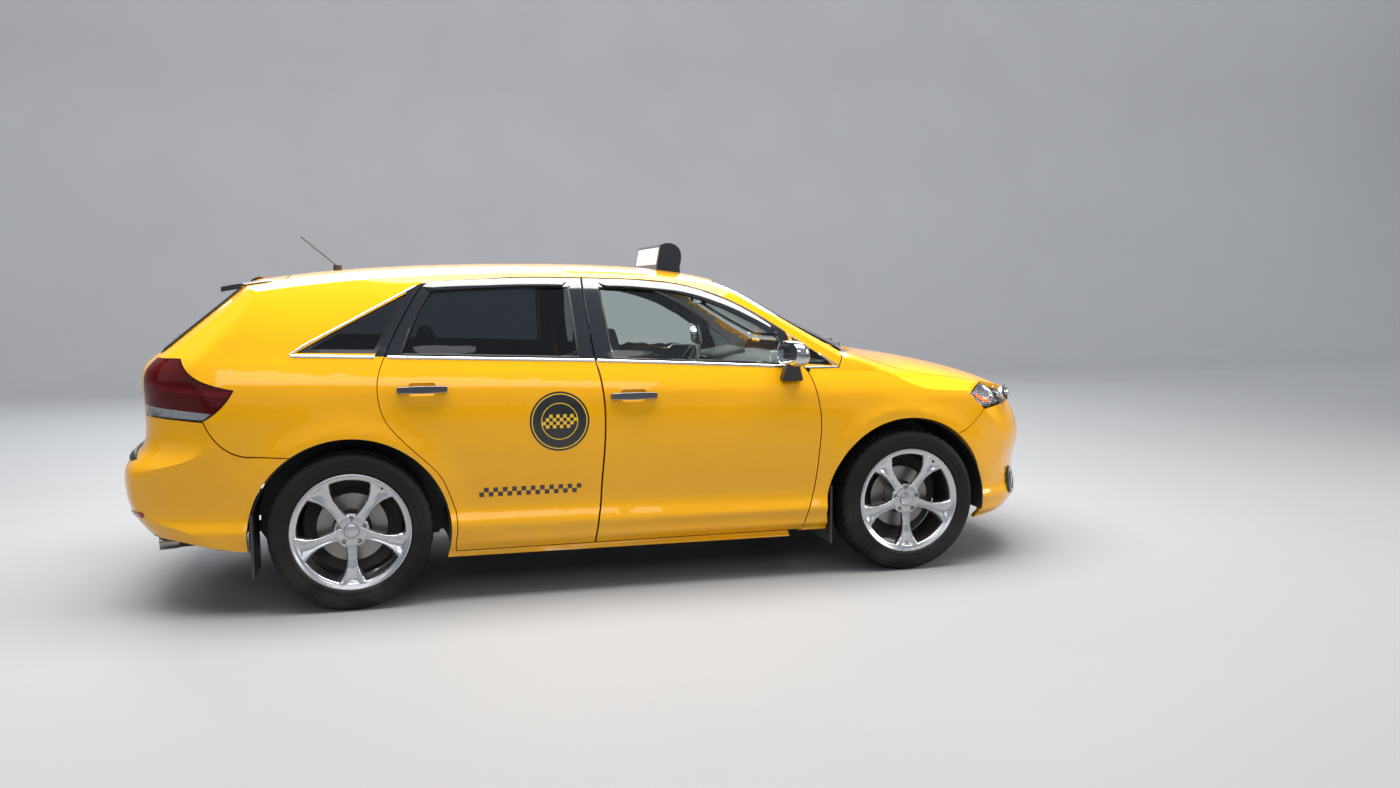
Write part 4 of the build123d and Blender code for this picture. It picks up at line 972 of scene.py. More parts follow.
def plate_at(name, look, y, z, body):
    """A blank plate with rounded corners, a rolled edge and two bolts, on its black holder."""
    place, normal = skin_point([skin_of("front_bumper"), skin_of("tailgate")], look, y, z)
    normal = Vector((normal.x, 0, normal.z)).normalized()
    turn = normal.to_track_quat("Z", "Y").to_matrix().to_4x4()
    pieces = []
    for size, depth, rise, material in (((0.322, 0.170), 0.010, 0.006, black_plastic),
                                        ((0.304, 0.152), 0.0022, 0.0125, plate_white)):
        part = block("plate_part", (*size, depth))
        alone(part)
        bpy.ops.object.mode_set(mode="EDIT")
        bpy.ops.mesh.select_all(action="DESELECT")
        edit = bmesh.from_edit_mesh(part.data)
        for edge in edit.edges:
            edge.select = abs((edge.verts[0].co - edge.verts[1].co).normalized().z) > 0.9
        bmesh.update_edit_mesh(part.data)
        bpy.ops.mesh.bevel(offset=0.014, segments=6)
        bpy.ops.mesh.select_all(action="DESELECT")
        edit = bmesh.from_edit_mesh(part.data)
        for face in edit.faces:
            face.select = face.normal.z > 0.9
        bmesh.update_edit_mesh(part.data)
        bpy.ops.mesh.inset(thickness=0.005, depth=-0.0012 if material == plate_white else 0.0012)
        bpy.ops.object.mode_set(mode="OBJECT")
        part.data.transform(Matrix.Translation((0, 0, rise)))
        part.data.materials.append(material)
        pieces.append(part)
    for side in (-0.09, 0.09):
        bpy.ops.mesh.primitive_cylinder_add(vertices=20, radius=0.0055, depth=0.004,
                                            location=(side, 0.058, 0.0142))
        bolt = bpy.context.object
        bpy.ops.object.transform_apply()
        applied(bolt, "BEVEL", width=0.0012, segments=2)
        bolt.data.materials.append(nut_steel)
        pieces.append(bolt)
    plate = joined(pieces, name)
    plate.data.transform(Matrix.Translation(place) @ turn)
    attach(plate, body)


plate_at("front_plate", "front", 0, 0.585, "body")

# Fog lamps: a clear lens over a small plated bowl, in a black bezel that stands out of the bumper's
# corner. Turned forms, moulded plastic, clipped in from behind.
fog_glass = glass("fog_lens", (0.97, 0.98, 1.0))
for hand, sign in HANDS:
    place, normal = skin_point(front_skin, "front", sign * 0.690, 0.405)
    turn = Matrix.Translation(place) @ normal.to_track_quat("-Y", "Z").to_matrix().to_4x4()
    bezel = spun("fog_bezel",
                 [(-8, 74), (5, 76), (12, 71), (13, 63), (10, 50), (8, 45), (4, 44), (1.5, 44)], 48,
                 gloss_black)
    bowl = spun("fog_bowl", [(9, 44), (7.5, 41), (3.5, 28), (2, 14), (2, 0)], 40, lamp_plate)
    lens = spun("fog_lens", [(8.5, 0), (8.5, 43), (9.5, 44), (12.5, 36), (14.5, 20), (15, 0)], 40,
                fog_glass)
    lamp = joined([bezel, bowl, lens], f"fog_lamp_{hand}")
    lamp.data.transform(turn)
    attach(lamp, "body")

# Rear: plated garnish over a blank plate, a black pad on the bumper's step, black valance with
# reflectors, black fins beside the glass, a wiper with its arm and hub, and the exhaust's bright tip.
tail_skin = [skin_of("tailgate")]
GARNISH_SECTION = [(-12, -4), (-13, 4), (-8, 10), (4, 12), (12, 7), (13, -4)]
trim("tailgate_garnish", [(-430, 985), (-200, 992), (0, 994), (200, 992), (430, 985)], GARNISH_SECTION,
     tail_skin, "rear", bright, 60, "tailgate", "dark_chrome", taper=26)
plate_at("rear_plate", "rear", 0, 0.885, "tailgate")
bumper_skin = [skin_of("rear_bumper")]
PAD_SECTION = [(-20, -4), (-22, 8), (-16, 14), (14, 15), (20, 8), (20, -4)]
trim("bumper_pad", [(-640, 708), (-300, 716), (0, 718), (300, 716), (640, 708)], PAD_SECTION, bumper_skin,
     "rear", black_plastic, 90, "body", "black_plastic", taper=70)
VALANCE_SECTION = [(-58, -3), (-60, 1), (-52, 4), (50, 4), (58, 1), (58, -3)]
trim("rear_valance", [(-700, 352), (-400, 336), (0, 330), (400, 336), (700, 352)], VALANCE_SECTION,
     bumper_skin, "rear", black_plastic, 80, "body", "black_plastic", taper=60)
REFLECTOR_SECTION = [(-13, -2), (-14, 3), (-10, 6), (10, 6), (14, 3), (13, -2)]
for hand, sign in HANDS:
    trim(f"rear_reflector_{hand}", [(sign * 560, 452), (sign * 640, 455), (sign * 720, 460)],
         REFLECTOR_SECTION, bumper_skin, "rear", red_inner, 20, "body", "lamp_red", taper=14)
pane = [skin_of("tailgate_glass")]
GATE_FIN_SECTION = [(-22, -3), (-24, 5), (-18, 11), (18, 11), (24, 5), (22, -3)]
GATE_FIN = ((600, 1190), (591, 1260), (573, 1380), (554, 1490), (547, 1528))
for hand, sign in HANDS:
    trim(f"tailgate_fin_{hand}", [(sign * y, z) for y, z in GATE_FIN], GATE_FIN_SECTION, tail_skin + pane,
         "rear", gloss_black, 60, "tailgate", "gloss_black", taper=30)
BLADE_SECTION = [(-4, 1), (-5, 9), (-2, 15), (2, 15), (5, 9), (4, 1)]
ARM_SECTION = [(-7, 6), (-9, 16), (-5, 24), (5, 24), (9, 16), (7, 6)]
blade = laid_strip("rear_wiper_blade", [(-330, 1236), (-150, 1246), (30, 1248)], BLADE_SECTION, pane,
                   "rear", black_plastic, 30, taper=10)
arm = laid_strip("rear_wiper_arm", [(0, 1196), (-60, 1222), (-150, 1246)], ARM_SECTION, pane, "rear",
                 gloss_black, 24, taper=16)
place, normal = skin_point(pane, "rear", 0, 1.196)
hub_cover = spun("wiper_hub", [(-4, 0), (-4, 24), (6, 25), (20, 20), (26, 12), (27, 0)], 32, gloss_black)
hub_cover.data.transform(Matrix.Translation(place) @ normal.to_track_quat("-Y", "Z").to_matrix().to_4x4())
rear_wiper = joined([blade, arm, hub_cover], "rear_wiper")
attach(rear_wiper, "tailgate")
tip_steel = finish("exhaust_tip", (0.50, 0.49, 0.47), (0.30, 0.27, 0.24), 0.18, grain=400, bump=0.1,
                   Metallic=1.0)
tip = spun("exhaust_tip",
           [(-60, 36), (0, 38), (22, 38), (25, 36.5), (22, 35), (-40, 34), (-60, 20), (-60, 36)], 48,
           tip_steel)
low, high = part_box("exhaust")
tip.data.transform(Matrix.Translation((low.x + 0.030, -0.560, 0.300))
                   @ Matrix.Rotation(math.radians(-90 + 10), 4, "Z"))
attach(tip, "body")

# Glass borders and wipers: black fired enamel round the fixed panes, where they are glued in, and two
# front wipers with sprung arms that pivot in the cowl.
frit = finish("black_enamel_border", (0.006, 0.006, 0.007), (0.009, 0.009, 0.010), 0.2, grain=600,
              bump=0.0, Coat_Weight=0.6)
FLAT_BAND = [(-1, -0.4), (-1, 0.35), (1, 0.35), (1, -0.4)]


def border(name, node, points, look, width, body, count=90):
    """A flat band as wide as width millimetres laid on a pane along a closed line of points."""
    section = [(across * width / 2, out) for across, out in FLAT_BAND]
    trim(name, points, section, [skin_of(node)], look, frit, count, body, "gloss_black", closed=True)


QUARTER_EDGE = [(-1520, 1200), (-1470, 1228), (-1304, 1319), (-1150, 1400), (-1074, 1440), (-1080, 1428),
                (-1110, 1370), (-1140, 1306), (-1172, 1240), (-1196, 1197), (-1206, 1194), (-1360, 1198),
                (-1500, 1202)]
for hand, _ in HANDS:
    border(f"quarter_border_{hand}", "quarter_glasses", QUARTER_EDGE, hand, 20, "body")
GATE_EDGE = [(0, 1192), (-390, 1194), (-520, 1204), (-546, 1216), (-536, 1280), (-508, 1440),
             (-494, 1458), (-460, 1464), (0, 1472), (460, 1464), (494, 1458), (508, 1440), (536, 1280),
             (546, 1216), (520, 1204), (390, 1194)]
border("tailgate_border", "tailgate_glass", GATE_EDGE, "rear", 34, "tailgate", 140)
SCREEN_EDGE = [(1272, 0), (1256, -250), (1198, -490), (1130, -660), (1096, -690), (1000, -682),
               (800, -650), (600, -610), (516, -594), (500, -560), (520, -320), (534, 0), (520, 320),
               (500, 560), (516, 594), (600, 610), (800, 650), (1000, 682), (1096, 690), (1130, 660),
               (1198, 490), (1256, 250)]
border("windscreen_border", "windscreen", SCREEN_EDGE, "top", 44, "body", 200)

screen_pane = [skin_of("windscreen")]
# Front wipers, as (name, blade line, arm line) in (x, y)
FRONT_WIPERS = (
    ("left", [(1236, -60), (1216, 200), (1166, 470)], [(1262, 480), (1228, 330), (1208, 240)]),
    ("right", [(1224, -560), (1256, -300), (1258, -90)], [(1290, 60), (1268, -140), (1256, -280)]),
)
for hand, blade_line, arm_line in FRONT_WIPERS:
    blade = laid_strip(f"wiper_blade_{hand}", blade_line, BLADE_SECTION, screen_pane, "top",
                       black_plastic, 40, taper=10)
    arm = laid_strip(f"wiper_arm_{hand}", arm_line, ARM_SECTION, screen_pane, "top", black_plastic, 24,
                     taper=10)
    wiper = joined([blade, arm], f"front_wiper_{hand}")
    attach(wiper, "body")

# Roof sign: a black moulded case with a white light panel front and back, left blank. Vacuum-formed
# plastic with a sealed lamp inside.
sign_panel = finish("sign_panel", (0.80, 0.81, 0.82), (0.74, 0.75, 0.77), 0.3, grain=300, bump=0.05,
                    Coat_Weight=0.5, Emission_Strength=0.06)
SIGN_WIDTH, SIGN_FOOT, SIGN_TOP = 0.544, 1.603, 1.694
SIGN_COLUMNS, SIGN_ROWS = 25, 13
roof_sign = skinned("roof_sign", gloss_black)
applied(roof_sign, "BEVEL", width=0.003, segments=2, limit_method="ANGLE", angle_limit=math.radians(50))
for name, look in (("sign_panel_rear", "rear"), ("sign_panel_front", "front")):
    rows = []
    for step in range(SIGN_ROWS):
        z = SIGN_FOOT + (SIGN_TOP - SIGN_FOOT) * step / (SIGN_ROWS - 1)
        rows.append([skin_point([roof_sign], look, SIGN_WIDTH * (k / (SIGN_COLUMNS - 1) - 0.5), z)
                     for k in range(SIGN_COLUMNS)])
    ahead = LOOKS[look][2]
    points = [spot[0] - ahead * 0.0016 for row in rows for spot in row]
    starts = [r * SIGN_COLUMNS + k for r in range(SIGN_ROWS - 1) for k in range(SIGN_COLUMNS - 1)]
    panel = from_points(name, points,
                        [(s, s + 1, s + SIGN_COLUMNS + 1, s + SIGN_COLUMNS) for s in starts])
    panel.data.materials.append(sign_panel)
    if sum(face.normal.dot(ahead) for face in panel.data.polygons) > 0:
        panel.data.flip_normals()
    applied(panel, "SOLIDIFY", thickness=0.004, offset=-0.4)
    applied(panel, "BEVEL", width=0.0012, segments=2, limit_method="ANGLE", angle_limit=math.radians(50))
    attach(panel, "body")

# Door markings: a generic black disc with yellow chequers across its middle and two yellow rings, and a
# band of black chequers under it. Vinyl film cut by hand and rolled on.
vinyl_black = finish("vinyl_black", (0.012, 0.012, 0.013), (0.018, 0.018, 0.018), 0.25, grain=900,
                     bump=0.03, Coat_Weight=0.5)
vinyl_yellow = finish("vinyl_yellow", (0.80, 0.50, 0.02), (0.76, 0.47, 0.02), 0.28, grain=900, bump=0.03,
                      Coat_Weight=0.5)


def film(name, cells, hand, panel, body, lift=0.0006):
    """Vinyl cells, each four (x, z) corners in metres and a finish number, laid lift metres off the skin."""
    corners, faces, kinds = [], [], []
    for cell, kind in cells:
        spots = [skin_point([panel], hand, x, z) for x, z in cell]
        if None in spots:
            continue
        faces.append(tuple(range(len(corners), len(corners) + 4)))
        corners += [place + normal * lift for place, normal in spots]
        kinds.append(kind)
    piece = from_points(name, corners, faces)
    for material in (vinyl_black, vinyl_yellow):
        piece.data.materials.append(material)
    for face, kind in zip(piece.data.polygons, kinds):
        face.material_index = kind
    edited(piece, bpy.ops.mesh.remove_doubles, threshold=0.00005)
    outward = -1 if hand == "right" else 1
    if sum(face.normal.y for face in piece.data.polygons) * outward < 0:
        piece.data.flip_normals()
    bpy.ops.object.shade_smooth()
    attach(piece, body)


ROUNDEL_X, ROUNDEL_Z = -0.365, 0.850
# Rings of the roundel, as (inner radius, outer radius, finish number)
ROUNDEL_RINGS = ((0.0, 0.030, 0), (0.030, 0.060, 0), (0.060, 0.084, 0), (0.084, 0.088, 1),
                 (0.088, 0.110, 0), (0.110, 0.128, 0), (0.128, 0.133, 1), (0.133, 0.142, 0))
ROUNDEL_SECTORS = 72
# Side of a square on the roundel, and how far from its middle the squares reach
CHEQUER, CHEQUER_REACH = 0.0165, 0.076
# Rear lower corner of the band, the side of its squares, and how many there are in a row
BAND_X, BAND_Z, BAND_SQUARE, BAND_COLUMNS = -0.748, 0.500, 0.022, 22
for hand, _ in HANDS:
    panel = skin_of(f"door_rear_{hand}")
    cells = []
    for near, far, kind in ROUNDEL_RINGS:
        for sector in range(ROUNDEL_SECTORS):
            start, end = (math.tau * edge / ROUNDEL_SECTORS for edge in (sector, sector + 1))
            cell = [(ROUNDEL_X + r * math.cos(a), ROUNDEL_Z + r * math.sin(a))
                    for r, a in ((near, start), (far, start), (far, end), (near, end))]
            cells.append((cell, kind))
    film(f"roundel_{hand}", cells, hand, panel, f"door_rear_{hand}")
    cells = []
    for row in range(-2, 2):
        for column in range(-5, 5):
            x, z = ROUNDEL_X + column * CHEQUER, ROUNDEL_Z + row * CHEQUER
            if (row + column) % 2 or math.hypot(x + CHEQUER / 2 - ROUNDEL_X,
                                                z + CHEQUER / 2 - ROUNDEL_Z) > CHEQUER_REACH:
                continue
            cells.append(([(x, z), (x + CHEQUER, z), (x + CHEQUER, z + CHEQUER), (x, z + CHEQUER)], 1))
    film(f"roundel_chequers_{hand}", cells, hand, panel, f"door_rear_{hand}", lift=0.0011)
    cells = []
    for row in range(2):
        for column in range(BAND_COLUMNS):
            if (row + column) % 2:
                continue
            for half in range(2):
                x, z = BAND_X + BAND_SQUARE * (column + half / 2), BAND_Z + BAND_SQUARE * row
                far, top = x + BAND_SQUARE / 2, z + BAND_SQUARE
                cells.append(([(x, z), (far, z), (far, top), (x, top)], 0))
    film(f"chequer_band_{hand}", cells, hand, panel, f"door_rear_{hand}")

# Seats: foam pads under dark cloth on steel rails. Each pad is lofted from its side profile, with bolsters
# along its edges, then swelled as cloth under air pressure; seams and channels are pressed in afterwards.
SQUAB = [(-66, 352), (20, 338), (300, 352), (498, 374), (528, 402), (532, 448), (508, 494), (468, 516),
         (300, 508), (46, 488), (-52, 472), (-72, 420)]
BACKREST = [(-84, 476), (-20, 484), (38, 498), (22, 560), (-30, 760), (-78, 1000), (-92, 1050),
            (-114, 1080), (-150, 1088), (-186, 1078), (-196, 1040), (-194, 980), (-150, 760), (-104, 560)]
HEADREST = [(-118, 1112), (-108, 1150), (-106, 1200), (-114, 1244), (-134, 1264), (-160, 1269),
            (-186, 1262), (-204, 1236), (-207, 1190), (-204, 1140), (-194, 1110), (-156, 1101)]
SEAT_X = {"front": 0.110, "rear": -0.806}


def swollen(piece, cap, frames=20):
    """The pad filled with air as cloth, with no point moved further than cap."""
    applied(piece, "REMESH", mode="VOXEL", voxel_size=0.018)
    start = [vertex.co.copy() for vertex in piece.data.vertices]
    cloth = piece.modifiers.new("cover_cloth", "CLOTH")
    cloth.settings.quality = 5
    cloth.settings.use_pressure = True
    cloth.settings.uniform_pressure_force = 4
    cloth.settings.effector_weights.gravity = 0
    for step in range(1, frames + 1):
        bpy.context.scene.frame_set(step)
    bpy.ops.object.modifier_apply(modifier="cover_cloth")
    bpy.context.scene.frame_set(1)
    for vertex, place in zip(piece.data.vertices, start):
        moved = vertex.co - place
        if moved.length > cap:
            vertex.co = place + moved * (cap / moved.length)
    applied(piece, "SUBSURF", levels=1, render_levels=1)


def pad(name, profile, x_offset, y_from, y_to, bolster, sunk, material):
    """A pad lofted across the car: the profile, drawn in at its ends and sunk between the bolsters."""
    middle = Vector((sum(p[0] for p in profile), sum(p[1] for p in profile))) / len(profile)
    verts, faces = [], []
    stations = 24
    for i in range(stations + 1):
        t = i / stations
        edge = abs(2 * t - 1)
        draw = 1 - 0.20 * max(0.0, (edge - 0.80) / 0.20) ** 2.4
        dip = sunk * (1 - min(1.0, max(0.0, (edge - 0.42) / 0.26)))
        for k, (x, z) in enumerate(profile):
            place = middle + (Vector((x, z)) - middle) * draw
            if k in bolster:
                place -= (Vector((x, z)) - middle).normalized() * dip
            verts.append((place.x / 1000 + x_offset, y_from + (y_to - y_from) * t, place.y / 1000))
    count = len(profile)
    for i in range(stations):
        for k in range(count):
            a, b = i * count + k, i * count + (k + 1) % count
            faces.append((a, b, b + count, a + count))
    faces += [tuple(range(count))[::-1], tuple(range(stations * count, (stations + 1) * count))]
    piece = from_points(name, verts, faces)
    edited(piece, bpy.ops.mesh.normals_make_consistent, inside=False)
    piece.data.materials.append(material)
    return piece


def pressed_seams(piece, lines, depth=0.005, width=0.007):
    """Seams sewn into the cover, each a plane's point and normal and a test of where it runs, pulled in
    along the surface's normal."""
    normals = [vertex.normal.copy() for vertex in piece.data.vertices]
    for vertex, normal in zip(piece.data.vertices, normals):
        sink = 0.0
        for point, across, limit in lines:
            if limit(vertex.co):
                away = (vertex.co - Vector(point)).dot(Vector(across))
                sink = max(sink, math.exp(-(away / width) ** 2))
        vertex.co -= normal * depth * sink
    alone(piece)
    bpy.ops.object.shade_smooth()


seat_cloth = finish("seat_cloth", (0.030, 0.029, 0.030), (0.046, 0.044, 0.045), 0.88, grain=1600,
                    bump=0.5, tone=6, Sheen_Weight=0.35)
rail_steel = finish("rail_steel", (0.10, 0.10, 0.105), (0.07, 0.07, 0.075), 0.4, grain=400, bump=0.1,
                    Metallic=0.8)


def seat_pads(row, label, y_from, y_to):
    """Squab and backrest of one place, with their seams."""
    x_offset = SEAT_X[row]
    width = y_to - y_from
    seams = [y_from + width * share for share in (0.26, 0.74)]
    squab = pad(f"{label}_squab", SQUAB, x_offset, y_from, y_to, (7, 8, 9), 22, seat_cloth)
    back = pad(f"{label}_backrest", BACKREST, x_offset, y_from, y_to, (2, 3, 4, 5), 24, seat_cloth)
    for piece in (squab, back):
        swollen(piece, 0.012)
    face_up = [((0, y, 0), (0, 1, 0), lambda place: place.z > 0.44) for y in seams]
    squab_lines = face_up + [((x_offset + step, 0, 0), (1, 0, 0),
                              lambda place: place.z > 0.46 and seams[0] < place.y < seams[1])
                             for step in (0.13, 0.23, 0.33)]
    back_lines = face_up + [((0, 0, level), (0, 0, 1),
                             lambda place: place.x > x_offset - 0.12 and seams[0] < place.y < seams[1])
                            for level in (0.66, 0.80, 0.94)]
    pressed_seams(squab, squab_lines)
    pressed_seams(back, back_lines)
    return [squab, back]


def head_pad(row, label, middle):
    """A head restraint on its two bright posts."""
    x_offset = SEAT_X[row]
    rest = pad(f"{label}_headrest", HEADREST, x_offset, middle - 0.126, middle + 0.126, (), 0, seat_cloth)
    swollen(rest, 0.007)
    pressed_seams(rest, [((x_offset - 0.157, 0, 0), (1, 0, 0), lambda place: True)], depth=0.003)
    posts = []
    for step in (-0.055, 0.055):
        bpy.ops.mesh.primitive_cylinder_add(vertices=20, radius=0.0055, depth=0.10,
                                            location=(x_offset - 0.154, middle + step, 1.092))
        posts.append(bpy.context.object)
        posts[-1].data.materials.append(bright)
        bpy.ops.object.transform_apply(location=True)
        bpy.ops.object.shade_smooth_by_angle(angle=math.radians(40))
    pair = joined(posts, f"{label}_headrest_posts")
    return rest, pair


def rails(label, x_offset, y_from, y_to):
    """Two floor rails under a seat, each a narrow bar on a wide one."""
    bars = []
    for y in (y_from + 0.092, y_to - 0.092):
        for low, high, half in ((0.262, 0.292, 0.022), (0.292, 0.340, 0.014)):
            bar = block("rail_bar", (0.38, 2 * half, high - low), (x_offset + 0.21, y, (low + high) / 2))
            bar.data.materials.append(rail_steel)
            bars.append(bar)
    return joined(bars, f"{label}_rails")


def ride_body(piece):
    """A piece of the cabin that the body carries."""
    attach(piece, "body")


# (row, label, from y, to y, node, filling)
PLACES = (
    ("front", "seat_right", -0.634, -0.136, "front_seats", 0.7),
    ("front", "seat_left", 0.136, 0.634, "front_seats", 0.7),
    ("rear", "bench_right", -0.580, -0.004, "rear_seat", 0.75),
    ("rear", "bench_left", 0.004, 0.580, "rear_seat", 0.75),
)
for row, label, y_from, y_to, node, filling in PLACES:
    pads = seat_pads(row, label, y_from, y_to)
    rest, posts = head_pad(row, label, (y_from + y_to) / 2)
    for piece in (*pads, rest):
        ride_body(piece)
        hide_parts(node)
    for piece in (posts, rails(label, SEAT_X[row], y_from, y_to)):
        ride_body(piece)

# Cabin lining: grained door cards and pillar trims, a pale woven headlining under the roof, and a cut
# pile carpet on the floor. The inward faces of each panel take these linings, clipped along its edges.
headlining = finish("headlining", (0.42, 0.40, 0.37), (0.38, 0.36, 0.33), 0.92, grain=1500, bump=0.35,
                    Sheen_Weight=0.2)
carpet = finish("floor_carpet", (0.022, 0.021, 0.021), (0.035, 0.033, 0.032), 0.95, grain=900, bump=0.9,
                distance=0.002, Sheen_Weight=0.3)
pillar_trim = finish("pillar_trim", (0.25, 0.24, 0.22), (0.22, 0.21, 0.19), 0.65, grain=1500, bump=0.25)
felt = finish("bonnet_felt", (0.02, 0.02, 0.02), (0.03, 0.03, 0.03), 0.95, grain=700, bump=0.7,
              distance=0.001)


def lined(panel, material, picks):
    """The faces that picks(centre, normal) chooses take a lining."""
    panel.data.materials.append(material)
    index = len(panel.data.materials) - 1
    for face in panel.data.polygons:
        if picks(face.center, face.normal):
            face.material_index = index


def below_skin(depths, side_panels, sign):
    """A test of whether a point lies deeper than depths inside the painted side."""
    def inside(place):
        look = Vector((0, -sign, 0))
        for panel in side_panels:
            hit, where, _, _ = panel.ray_cast(Vector((place.x, sign * 1.3, place.z)), look)
            if hit and abs(where.y) - abs(place.y) > depths:
                return True
        return False
    return inside


for hand, sign in HANDS:
    for end in ("front", "rear"):
        door = skin_of(f"door_{end}_{hand}")
        depth = below_skin(0.050, [door], sign)
        lined(door, trim_plastic,
              lambda place, normal: normal.y * sign < -0.35 and place.z < 1.16 and depth(place))
    side = skin_of(f"body_side_{hand}")
    depth = below_skin(0.050, [side], sign)
    lined(side, pillar_trim, lambda place, normal: normal.y * sign < -0.30 and place.z > 1.04
          and place.x > -2.0 and depth(place))
    lined(side, trim_plastic, lambda place, normal: normal.y * sign < -0.30 and place.z <= 1.04
          and place.x > -2.1 and depth(place))
roof_panel = skin_of("roof")
lined(roof_panel, headlining, lambda place, normal: normal.z < -0.5)
gate = skin_of("tailgate")
lined(gate, trim_plastic, lambda place, normal: normal.x > 0.4 and place.x > -2.36)
pan = skin_of("floor_pan")
lined(pan, carpet, lambda place, normal: normal.z > 0.4 or (normal.x < -0.5 and place.x > 0.9))
hood = skin_of("bonnet")
# The felt's rear and front edge, and half its width
FELT_REAR, FELT_FRONT, FELT_HALF = 1.30, 2.10, 0.62
cut_along(hood, [((x, 0, 0), (1, 0, 0)) for x in (FELT_REAR, FELT_FRONT)])
cut_along(hood, [((0, y, 0), (0, 1, 0)) for y in (FELT_HALF, -FELT_HALF)])
lined(hood, felt, lambda place, normal: normal.z < -0.5 and FELT_REAR < place.x < FELT_FRONT
      and abs(place.y) < FELT_HALF)

# Cabin fittings: instrument hood, screen and vents on the dashboard, gear lever and cup holders on the
# console, stalks, the leather grip on the steering wheel, the inner mirror, sun visors and the pedals.
# Moulded plastic, screwed or clipped to what carries them.
dash_gloss = finish("piano_black", (0.008, 0.008, 0.009), (0.012, 0.012, 0.013), 0.1, grain=500, bump=0.0,
                    Coat_Weight=1.0)
screen_glass = finish("screen_glass", (0.012, 0.016, 0.022), (0.014, 0.018, 0.026), 0.06, grain=300,
                      bump=0.0, Coat_Weight=1.0)
grip_leather = finish("grip_leather", (0.020, 0.019, 0.018), (0.03, 0.029, 0.027), 0.5, grain=1300,
                      bump=0.4)


def moulded(name, size, place, radius, material, turn=(0, 0, 0), segments=3):
    """A block with rounded edges, centred on place and turned about it, in metres and degrees."""
    bpy.ops.mesh.primitive_cube_add(size=1, location=place, rotation=[math.radians(a) for a in turn])
    piece = bpy.context.object
    piece.name = name
    piece.scale = size
    bpy.ops.object.transform_apply(location=False, rotation=False, scale=True)
    applied(piece, "BEVEL", width=radius, segments=segments, limit_method="NONE")
    bpy.ops.object.transform_apply()
    bpy.ops.object.shade_smooth_by_angle(angle=math.radians(35))
    piece.data.materials.append(material)
    return piece


def fitted(pieces, name, body="body"):
    """Pieces joined as one and carried by a body."""
    whole = joined(pieces, name) if len(pieces) > 1 else pieces[0]
    whole.name = name
    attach(whole, body)
    return whole


# (name, size, place, edge radius, turn)
DASH_PARTS = (
    ("instrument_hood", (0.22, 0.36, 0.060), (0.790, 0.370, 1.072), 0.020, (0, -10, 0)),
    ("glove_box_lid", (0.020, 0.42, 0.150), (0.694, -0.400, 0.900), 0.008, (0, 14, 0)),
    ("console_bin", (0.30, 0.190, 0.10), (0.180, 0.0, 0.590), 0.025, (0, 0, 0)),
    ("centre_stack", (0.030, 0.280, 0.230), (0.690, 0.0, 0.900), 0.010, (0, 10, 0)),
)
pieces = [moulded(name, size, place, radius, trim_plastic, turn)
          for name, size, place, radius, turn in DASH_PARTS]
fitted(pieces, "dashboard_mouldings")
screen = moulded("centre_screen", (0.010, 0.190, 0.110), (0.676, 0.0, 0.950), 0.006, screen_glass,
                 (0, 10, 0))
dials = moulded("instrument_pane", (0.008, 0.270, 0.062), (0.682, 0.370, 1.034), 0.006, screen_glass,
                (0, -18, 0))
fitted([screen, dials], "dashboard_panes")
vents = []
for y in (-0.600, -0.115, 0.115, 0.600):
    frame_x, slat_x = (0.700, 0.692) if abs(y) > 0.3 else (0.684, 0.677)
    vents.append(moulded("vent_frame", (0.014, 0.100, 0.062), (frame_x, y, 0.990), 0.012, dash_gloss,
                         (0, 6, 0)))
    for step in range(4):
        vents.append(moulded("vent_slat", (0.010, 0.084, 0.003), (slat_x, y, 0.970 + 0.013 * step), 0.001,
                             bright, (0, 24, 0), 1))
fitted(vents, "dashboard_vents")
lever = [moulded("lever_boot", (0.110, 0.090, 0.030), (0.480, 0.0, 0.596), 0.012, grip_leather,
                 (0, 16, 0)),
         moulded("lever_knob", (0.042, 0.040, 0.070), (0.462, 0.0, 0.680), 0.018, dash_gloss)]
bpy.ops.mesh.primitive_cylinder_add(vertices=20, radius=0.009, depth=0.10, location=(0.468, 0, 0.630))
lever.append(bpy.context.object)
lever[-1].data.materials.append(bright)
bpy.ops.object.transform_apply(location=True)
for x in (0.330, 0.400):
    bpy.ops.mesh.primitive_torus_add(major_radius=0.036, minor_radius=0.004, major_segments=40,
                                     minor_segments=8, location=(x, 0.040 if x < 0.35 else -0.040, 0.566))
    lever.append(bpy.context.object)
    lever[-1].data.materials.append(bright)
    bpy.ops.object.transform_apply(location=True)
    bpy.ops.object.shade_smooth()
fitted(lever, "gear_lever_and_cups")
pedals = [moulded("brake_pedal", (0.012, 0.110, 0.060), (0.985, 0.350, 0.420), 0.006, black_plastic,
                  (0, -30, 0)),
          moulded("throttle_pedal", (0.012, 0.060, 0.150), (0.990, 0.230, 0.390), 0.006, black_plastic,
                  (0, -35, 0))]
for y in (0.350, 0.230):
    pedals.append(moulded("pedal_arm", (0.016, 0.014, 0.300), (1.055, y, 0.520), 0.004, rail_steel,
                          (0, 24, 0)))
fitted(pedals, "pedals")

